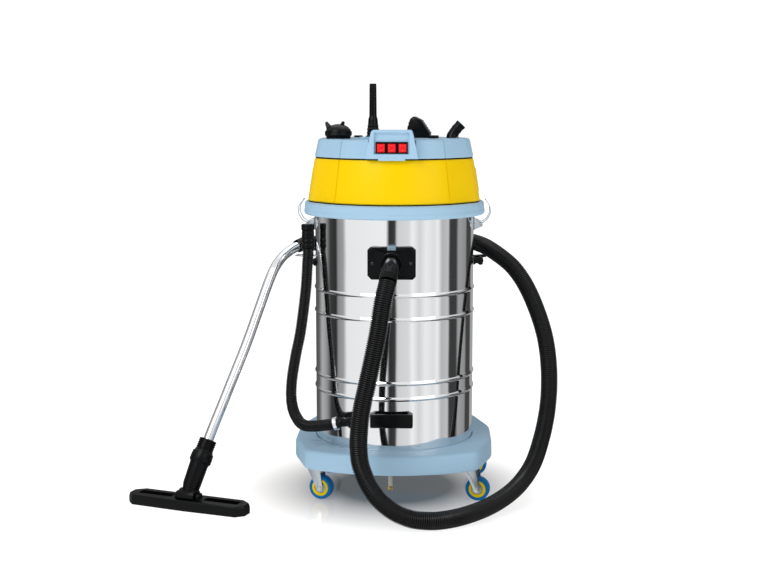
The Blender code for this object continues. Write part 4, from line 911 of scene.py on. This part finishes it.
YELLOW_PP = finish_of("moulded_yellow_polypropylene", "FFD400", 0.34, mottle=0.03, grain_mm=1.6, relief=0.10)
RING_R, RING_LOW, RING_TOP = 0.250, 0.780, 0.816
ring = [
    (0, 0.8085), (0.2226, 0.8085), (0.2226, RING_LOW), (RING_R - 0.0035, RING_LOW),
    (RING_R, RING_LOW + 0.0045), (RING_R, RING_LOW + 0.012), (RING_R - 0.0012, RING_LOW + 0.015),
    (RING_R - 0.0012, RING_TOP - 0.012), (RING_R - 0.0025, RING_TOP - 0.004), (RING_R - 0.007, RING_TOP),
    (0.2240, RING_TOP), (0.2240, RING_TOP + 0.0022), (0, RING_TOP + 0.0022),
]
head_ring = spun("head_ring_moulded", rounded(ring, 0.0020, closed=False), 144)
fit(head_ring, "head", PALE_BLUE, "pale_blue", "head_ring")

HOUSING_LOW, HOUSING_TOP = 0.8185, 0.9345
housing = raised(
    "motor_housing_moulded", HEAD_PLAN,
    [
        (HOUSING_LOW, 0.2290), (HOUSING_LOW + 0.0006, 0.2330), (HOUSING_LOW + 0.0030, 0.2349),
        (HOUSING_LOW + 0.0080, 0.2345), (HOUSING_TOP - 0.0080, 0.2180), (HOUSING_TOP - 0.0030, 0.2168),
        (HOUSING_TOP - 0.0008, 0.2150), (HOUSING_TOP, 0.2125), (HOUSING_TOP, 0.2085),
        (HOUSING_TOP + 0.0026, 0.2085),
    ],
)
lean = math.atan((0.2349 - 0.2168) / (HOUSING_TOP - HOUSING_LOW))
for sign in (-1, 1):
    grip = modified(block((0.0125, 0.066, 0.066)), "BEVEL", width=0.0040, segments=4)
    stood(grip, Matrix.Translation((sign * 0.2225, 0, 0.8745)) @ Matrix.Rotation(-sign * lean, 4, "Y"))
    grip.name = f"housing_side_pad_{'right' if sign > 0 else 'left'}"
    fit(smoothed(grip), "head", YELLOW_PP, "yellow")
fit(smoothed(housing, 28), "head", YELLOW_PP, "yellow", "motor_housing")
gland = [
    (0, 0), (0.0108, 0), (0.0108, 0.0060), (0.0086, 0.0085), (0.0086, 0.0115), (0.0056, 0.0115),
    (0.0056, 0.0020), (0, 0.0020),
]
boss = spun("lead_gland_boss", rounded(gland, 0.0006, closed=False), 40)
backward = Matrix.Rotation(-math.pi / 2, 4, "X")
black(stood(boss, Matrix.Translation((0.060, 0.2215, 0.8485)) @ backward), "head")

# Thin black bands fill the seams between the three mouldings: painted shade of the gaps there.
SEAM_SHADE_BLACK = finish_of("black_rubber_gasket", "060607", 0.6, mottle=0.2)
for name, low, high, half in (
    ("gasket_under_housing", RING_TOP - 0.0004, HOUSING_LOW + 0.0006, 0.2334),
    ("gasket_under_cover", HOUSING_TOP - 0.0002, 0.9380, 0.2142),
):
    seal = raised(name, HEAD_PLAN, [(low, half), (high, half)])
    fit(smoothed(seal), "head", SEAM_SHADE_BLACK, "black_rubber")

COVER_LOW, COVER_TOP = 0.9375, 0.987
cover = raised(
    "head_cover_moulded", HEAD_PLAN,
    [
        (COVER_LOW, 0.2000), (COVER_LOW, 0.2135), (COVER_LOW + 0.0008, 0.2150), (COVER_LOW + 0.0030, 0.2160),
        (COVER_LOW + 0.0060, 0.2158), (COVER_TOP - 0.0080, 0.2078), (COVER_TOP - 0.0040, 0.2068),
        (COVER_TOP - 0.0014, 0.2048), (COVER_TOP - 0.0003, 0.2022), (COVER_TOP, 0.1990),
    ],
)
cut_with(cover, block((0.1250, 0.0990, 0.0900), (0, -0.2200, 0.9760)))
fit(smoothed(cover, 28), "head", PALE_BLUE, "pale_blue", "head_cover")


# --- Switch console ---------------------------------------------------------
# A pale blue box let into the front of the cover, splayed towards its foot. Its recess holds a black
# frame with three illuminated red rockers, each in its own bezel.

fit(eased("switch_console_moulded", "switch_panel", 0.0022, 3), "head", PALE_BLUE, "pale_blue", "switch_panel")
black(eased("switch_frame_moulded", "switch_frame", 0.0005, 2), "head", "switch_frame")

RED_ROCKER = finish_of(
    "translucent_red_polycarbonate", "F4101A", 0.20, mottle=0.10, grain_mm=0.9, relief=0.08
)
lens = RED_ROCKER.node_tree.nodes["Principled BSDF"]
lens.inputs["Emission Color"].default_value = linear("F01018")
lens.inputs["Emission Strength"].default_value = 0.12
lens.inputs["Coat Weight"].default_value = 0.4
PALE_MARK = finish_of("pale_pad_print", "F0B8B4", 0.5, mottle=0.10)

# Each rocker has a raised bezel round it and a faint bar and ring on its two halves.
ROCKER_Z, ROCKER_PITCH = 0.9675, 0.0282
ROCKER_TILT, HALF_TILT = math.radians(8), math.radians(7.6)
BEZEL = (
    ((-0.0128, -0.0140), (-0.0107, 0.0140)), ((0.0107, -0.0140), (0.0128, 0.0140)),
    ((-0.0128, 0.0126), (0.0128, 0.0142)), ((-0.0128, -0.0142), (0.0128, -0.0126)),
)
off_ring = [(0.0008, 0), (0.0012, 0), (0.0012, 0.0003), (0.0008, 0.0003), (0.0008, 0)]
for k in (1, 2, 3):
    moulded = eased(f"rocker_{k}_moulded", f"rocker_{k}", 0.0009, 3, 25)
    fit(moulded, f"rocker_{k}", RED_ROCKER, "red", f"rocker_{k}")
for k in (1, 2, 3):
    x = ROCKER_PITCH * (k - 2)
    sides = [
        box_between((x + low[0], -0.2262, ROCKER_Z + low[1]), (x + high[0], -0.2240, ROCKER_Z + high[1]))
        for low, high in BEZEL
    ]
    bezel = modified(joined(sides, f"rocker_bezel_{k}"), "BEVEL", width=0.0004, segments=2)
    black(smoothed(bezel), "head")
    tilt = Matrix.Translation((x, -0.221, ROCKER_Z)) @ Matrix.Rotation(ROCKER_TILT, 4, "X")
    bar = modified(block((0.0007, 0.0003, 0.0024)), "BEVEL", width=0.0001, segments=1)
    bar.name = f"rocker_{k}_on_bar"
    upper = tilt @ Matrix.Translation((0, -0.0060, 0.0060)) @ Matrix.Rotation(HALF_TILT, 4, "X")
    fit(stood(bar, upper), f"rocker_{k}", PALE_MARK, "white")
    lower = tilt @ Matrix.Translation((0, -0.0058, -0.0060))
    lower = lower @ Matrix.Rotation(math.pi / 2 - HALF_TILT, 4, "X")
    ring_mark = spun(f"rocker_{k}_off_ring", off_ring, 28)
    fit(stood(ring_mark, lower), f"rocker_{k}", PALE_MARK, "white")


# --- Inside the head and the drum ---------------------------------------------
# Three bypass motors in die-cast cans, a slotted polypropylene cage with its float, the rim seal and
# a woven filter bag. These show only when the head is lifted.

CAST_ALUMINIUM = finish_of(
    "die_cast_aluminium", "A9AEB2", 0.45, metallic=1.0, mottle=0.15, grain_mm=1.0, relief=0.4
)
WHITE_PP = finish_of("moulded_white_polypropylene", "E8E8E4", 0.45, mottle=0.04)
SEAL_RUBBER = finish_of("foam_rubber_seal", "1B1C1E", 0.80, mottle=0.2, grain_mm=0.8, relief=0.5)
FILTER_FELT = bpy.data.materials.new("woven_polyester_filter")
FILTER_FELT.use_nodes = True
tree = FILTER_FELT.node_tree
felt = tree.nodes["Principled BSDF"]
felt.inputs["Roughness"].default_value = 0.9
felt.inputs["Sheen Weight"].default_value = 0.3
place = node(tree, "ShaderNodeTexCoord")
# Threads every 1.6 mm, coarser than real ones so that they show.
threads = {"Vector": place.outputs["Object"], "Scale": 100.0}
warp = node(tree, "ShaderNodeTexWave", threads, bands_direction="X")
weft = node(tree, "ShaderNodeTexWave", threads, bands_direction="Z")
both = node(
    tree, "ShaderNodeMath", {0: warp.outputs["Fac"], 1: weft.outputs["Fac"]}, operation="MULTIPLY"
)
cloth_colour = node(
    tree, "ShaderNodeMix", {0: both.outputs[0], "A": linear("B9B4A6"), "B": linear("DEDACE")},
    data_type="RGBA",
)
tree.links.new(cloth_colour.outputs["Result"], felt.inputs["Base Color"])
woven = node(tree, "ShaderNodeBump", {"Strength": 0.5, "Distance": 0.0004, "Height": both.outputs[0]})
tree.links.new(woven.outputs[0], felt.inputs["Normal"])
for name, material in (
    ("motor_1", CAST_ALUMINIUM), ("motor_2", CAST_ALUMINIUM), ("motor_3", CAST_ALUMINIUM),
    ("float_cage", WHITE_PP), ("float_ball", WHITE_PP), ("drum_seal", SEAL_RUBBER), ("filter_bag", FILTER_FELT),
):
    nodes[name].data.materials.clear()
    nodes[name].data.materials.append(material)


# --- Small tools on the cover -------------------------------------------------
# Black ABS accessories: an upright crevice nozzle, a dusting brush on its face, a ribbed upholstery
# nozzle and an elbow adapter, with a flat cap and two low pads beside them.

DECK = 0.987
NOZZLE_X, NOZZLE_Y = -0.064, 0.097
nozzle = [
    (0.0085, 0.0004), (0.0200, 0.0004), (0.0200, 0.0040), (0.0172, 0.0052), (0.0168, 0.0100),
    (0.0180, 0.0110), (0.0180, 0.0134), (0.0165, 0.0144), (0.0160, 0.0200), (0.0172, 0.0210),
    (0.0172, 0.0234), (0.0158, 0.0244), (0.0150, 0.0300), (0.0160, 0.0310), (0.0160, 0.0330),
    (0.0145, 0.0340), (0.0133, 0.0500), (0.0116, 0.0560), (0.0106, 0.0600), (0.0099, 0.1400),
    (0.0095, 0.1485), (0.0085, 0.1500), (0.0070, 0.1500), (0.0066, 0.0580), (0.0100, 0.0500),
    (0.0100, 0.0100),
]
crevice = spun("crevice_nozzle_moulded", rounded(nozzle, 0.0006), 48)
stood(crevice, Matrix.Translation((NOZZLE_X, NOZZLE_Y, DECK)))
black(crevice, "crevice_nozzle_loose", "crevice_nozzle")

# The dusting brush: a domed body on a skirt of bristles, with two stub horns of its collar.
BRUSH_PLACE = Matrix.Translation((-0.150, -0.068, DECK))
RIBS, TUFTS = 14, 44
dome = [
    (0, 0.0060), (0.0330, 0.0060), (0.0358, 0.0078), (0.0364, 0.0120), (0.0345, 0.0170),
    (0.0350, 0.0190), (0.0325, 0.0250), (0.0270, 0.0310), (0.0200, 0.0355), (0.0100, 0.0385),
    (0, 0.0395),
]
brush_parts = [spun("round_brush_moulded", rounded(dome, 0.0010, closed=False), 56)]
for x_shift, lean in ((-0.0210, 0.50), (0.0053, -0.35)):
    bpy.ops.mesh.primitive_cone_add(
        vertices=4, radius1=0.0135, radius2=0.0050, depth=0.0260, location=(0, 0, 0.0130),
        rotation=(0, 0, math.pi / 4),
    )
    bpy.ops.object.transform_apply()
    horn = modified(bpy.context.object, "BEVEL", width=0.0016, segments=3)
    stood(horn, Matrix.Translation((x_shift, 0, 0.022)) @ Matrix.Rotation(-lean, 4, "Y"))
    brush_parts.append(horn)
for k in range(RIBS):
    # Moulded ribs run up the dome from its rim.
    rib = modified(block((0.0060, 0.0012, 0.0100), (0.0337, 0, 0.0150)), "BEVEL", width=0.0004, segments=1)
    brush_parts.append(stood(rib, Matrix.Rotation(math.tau * k / RIBS, 4, "Z")))
brush = stood(smoothed(joined(brush_parts, "round_brush_moulded")), BRUSH_PLACE)
black(brush, "round_brush_loose", "round_brush")
BRISTLE = finish_of("black_nylon_bristle", "101113", 0.55, mottle=0.3)
bristles = []
for row, radius in enumerate((0.0262, 0.0290, 0.0318)):
    for k in range(TUFTS):
        a = math.tau * (k + 0.33 * row) / TUFTS
        bpy.ops.mesh.primitive_cone_add(
            vertices=5, radius1=0.0009, radius2=0.0014, depth=0.0070,
            location=(radius * math.cos(a), radius * math.sin(a), 0.0039),
        )
        bristles.append(bpy.context.object)
skirt = joined(bristles, "round_brush_bristles")
bpy.ops.object.transform_apply()
fit(stood(skirt, BRUSH_PLACE), "round_brush_loose", BRISTLE, "black_moulding")

# The upholstery nozzle: a wedge mouth whose neck leans back, with ribs across its right flank.
UPHOLSTERY = Matrix.Translation((0.064, 0.030, DECK + 0.0004)) @ Matrix.Rotation(math.radians(-8), 4, "Z")
wedge = [(-0.034, 0.0), (0.034, 0.0), (0.036, 0.012), (0.010, 0.050), (-0.010, 0.0592), (-0.020, 0.052)]
bpy.ops.object.select_all(action="DESELECT")
bpy.ops.mesh.primitive_circle_add(vertices=len(wedge), radius=1, fill_type="NGON")
mouth = bpy.context.object
for vert, (x, z) in zip(mouth.data.vertices, wedge):
    vert.co = (x, 0.019, z)
bpy.ops.object.mode_set(mode="EDIT")
bpy.ops.mesh.select_all(action="SELECT")
bpy.ops.mesh.extrude_region_move(TRANSFORM_OT_translate={"value": (0, -0.038, 0)})
bpy.ops.mesh.select_all(action="SELECT")
bpy.ops.mesh.normals_make_consistent(inside=False)
bpy.ops.object.mode_set(mode="OBJECT")
modified(mouth, "BEVEL", width=0.0035, segments=3)
wedge_parts = [mouth]
# Ribs across its two flanks: how many, the first one's offset and how many pitches the flank has,
# the flank's foot and top, a rib's size, its lean in degrees and its shift.
for count, first, pitches, (x0, z0), (x1, z1), size, lean, shift in (
    (6, 0.5, 6, (0.036, 0.012), (0.010, 0.050), (0.0060, 0.0425, 0.0026), 34, -0.0012),
    (4, 0.6, 4.6, (-0.034, 0.0), (-0.020, 0.052), (0.0040, 0.0410, 0.0026), 15, 0.0006),
):
    for k in range(count):
        share = (k + first) / pitches
        at = (x0 + (x1 - x0) * share + shift, 0, z0 + (z1 - z0) * share)
        rib = block(size, at, (0, math.radians(lean), 0))
        wedge_parts.append(modified(rib, "BEVEL", width=0.0007, segments=2))
mouth = joined(wedge_parts, "upholstery_nozzle_moulded")
black(stood(smoothed(mouth), UPHOLSTERY), "upholstery_nozzle_loose", "upholstery_nozzle")

# The elbow adapter, whose mouth has a grey-blue sleeve.
ADAPTER = Vector((0.166, 0.015, DECK + 0.0004))
bend, _ = flowing(
    [(-0.006, 0, 0), (-0.006, 0, 0.006), (-0.002, 0, 0.014), (0.006, 0, 0.025), (0.018, 0, 0.038)], 0.0022
)
radii = []
for k in range(len(bend)):
    share = k / (len(bend) - 1)
    ridge = 0.0008 if 0.30 < share < 0.38 or 0.55 < share < 0.63 or share > 0.90 else 0.0
    radii.append(0.0178 - 0.0036 * min(share / 0.3, 1) + ridge)
adapter = bent_pipe("elbow_adapter_moulded", [ADAPTER + p for p in bend], radii, 40, [0.0122] * len(bend))
black(adapter, "elbow_adapter_loose", "elbow_adapter")
sleeve = [(0.0098, -0.0080), (0.0120, -0.0080), (0.0120, 0.0004), (0.0112, 0.0010), (0.0098, 0.0010)]
liner = spun("elbow_adapter_sleeve", rounded(sleeve, 0.0004), 40)
stood(liner, facing(ADAPTER + bend[-1], (bend[-1] - bend[-2]).normalized()))
fit(liner, "elbow_adapter_loose", GREY_BLUE, "grey_blue")
for name, at, size, material, slot_name in (
    ("deck_cap", (0.107, -0.020), (0.030, 0.030, 0.0085), BLACK_ABS, "black_moulding"),
    ("deck_pad_front", (-0.075, -0.105), (0.032, 0.022, 0.0060), PALE_BLUE, "pale_blue"),
    ("deck_foot", (-0.105, 0.085), (0.024, 0.016, 0.0060), BLACK_ABS, "black_moulding"),
):
    bpy.ops.mesh.primitive_cylinder_add(
        vertices=40, radius=0.5, depth=1, location=(*at, DECK + size[2] / 2 - 0.0004), scale=size
    )
    bpy.ops.object.transform_apply()
    low_piece = modified(bpy.context.object, "BEVEL", width=0.0016, segments=3, limit_method="ANGLE")
    low_piece.name = name
    fit(smoothed(low_piece), "head", material, slot_name)


# --- Hose cuffs ---------------------------------------------------------------
# Smooth black ABS cuffs on the suction hose. The front one plugs into the inlet and turns down; the
# rear one slips over the wand's upper end.

cuff_line, _ = flowing(
    [(0, -0.2105, INLET_Z), (0, -0.250, INLET_Z), (0, -0.272, INLET_Z - 0.001),
     (-0.0005, -0.292, INLET_Z - 0.005), (-0.002, -0.310, INLET_Z - 0.013),
     (-0.0045, -0.323, INLET_Z - 0.025), SUCTION_START], 0.003
)
radii = []
for k in range(len(cuff_line)):
    share = k / (len(cuff_line) - 1)
    radii.append(0.0223 + (0.0010 if share > 0.86 else 0) + (0.0008 if 0.34 < share < 0.40 else 0))
front_cuff = bent_pipe("hose_cuff_inlet_moulded", cuff_line, radii, 48)
black(front_cuff, "chassis", "hose_cuff_inlet")

TOOL_X, TOOL_Y, HINGE_Z = -0.5475, -0.2319, 0.031
WAND_PLANE = math.radians(49.3)
WAND_ROUTE = [
    (0.058, 0.1495), (0.0885, 0.2045), (0.1216, 0.2607), (0.1663, 0.3380), (0.2115, 0.4165),
    (0.2497, 0.4900), (0.2845, 0.5580), (0.3038, 0.5940), (0.3232, 0.6235), (0.3503, 0.6500),
    (0.3814, 0.6670), (0.4088, 0.6767), (0.4324, 0.6821),
]


def along_wand(along, height):
    return Vector((TOOL_X + along * math.cos(WAND_PLANE), TOOL_Y + along * math.sin(WAND_PLANE), height))


wand_points = [along_wand(*p) for p in WAND_ROUTE]
wand_end = wand_points[-1]
leaving = (wand_end - wand_points[-2]).normalized()
hose_end = Vector(SUCTION_ROUTE[-1])
toward = (hose_end - wand_end - leaving * 0.002).normalized()
rear_line, _ = flowing(
    [wand_end - leaving * 0.022, wand_end + leaving * 0.004, wand_end + leaving * 0.010 + toward * 0.006,
     hose_end - toward * 0.0023, hose_end - toward * 0.0003], 0.004
)
radii = [0.0185 + 0.0040 * min(k / (len(rear_line) - 1) * 1.2, 1) for k in range(len(rear_line))]
rear_cuff = bent_pipe("hose_cuff_wand_moulded", rear_line, radii, 40)
black(rear_cuff, "chassis", "hose_cuff_wand")


# --- Wand ---------------------------------------------------------------------
# Chrome-plated steel tube, 28 mm, bent near its upper end. It stands in the floor tool's socket.

tube_line, _ = flowing(wand_points, 0.012)
wand = bent_pipe("wand_tube", tube_line, [0.0140] * len(tube_line), 40, [0.0125] * len(tube_line))
fit(wand, "chassis", CHROME, "chrome", "wand")


# --- Tool neck ----------------------------------------------------------------
# A black ABS socket in three steps, a ribbed collar over a flared cuff, on a knuckle that rocks
# between the floor tool's cheeks.

TOOL_TURN = math.radians(-19.5)
middle = Vector((TOOL_X, TOOL_Y, HINGE_Z))
socket_top = wand_points[0]
up = (wand_points[1] - socket_top).normalized()
neck_steps = [
    (middle, 0.0190), (middle.lerp(along_wand(0.012, 0.062), 0.6), 0.0224),
    (along_wand(0.012, 0.062), 0.0244),
]
# The socket's profile: how far along the wand from its end, and the radius there.
collar = [
    (-0.046, 0.0254), (-0.040, 0.0260), (-0.037, 0.0290), (-0.034, 0.0300), (-0.020, 0.0296),
    (-0.010, 0.0288), (-0.007, 0.0256), (-0.004, 0.0250), (-0.002, 0.0240),
]
for k in range(5):
    at = 0.001 + 0.0056 * k
    collar += [(at - 0.0004, 0.0228), (at + 0.0006, 0.0242), (at + 0.0030, 0.0242), (at + 0.0040, 0.0228)]
collar += [(0.0275, 0.0230), (0.0280, 0.0212), (0.0280, 0.0143)]
neck_steps += [(socket_top + up * at, radius) for at, radius in collar]
neck = bent_pipe("tool_neck_moulded", [p for p, _ in neck_steps], [r for _, r in neck_steps], 48)
knuckle = round_bar(0.0218, 0.0490, tuple(middle), (0, math.pi / 2, 0), 56)
knuckle.data.transform(
    Matrix.Translation(middle) @ Matrix.Rotation(TOOL_TURN, 4, "Z") @ Matrix.Translation(-middle)
)
modified(knuckle, "BEVEL", width=0.0010, segments=2, limit_method="ANGLE")
black(smoothed(joined([neck, knuckle], "tool_neck_moulded")), "chassis", "tool_neck")


# --- Floor tool ---------------------------------------------------------------
# One long black ABS moulding with a bowed front edge, two open pockets in its top and a suction slot
# between two brush strips underneath.

black(eased("floor_tool_moulded", "floor_tool", 0.0022, 3, 28), "floor_head", "floor_tool")
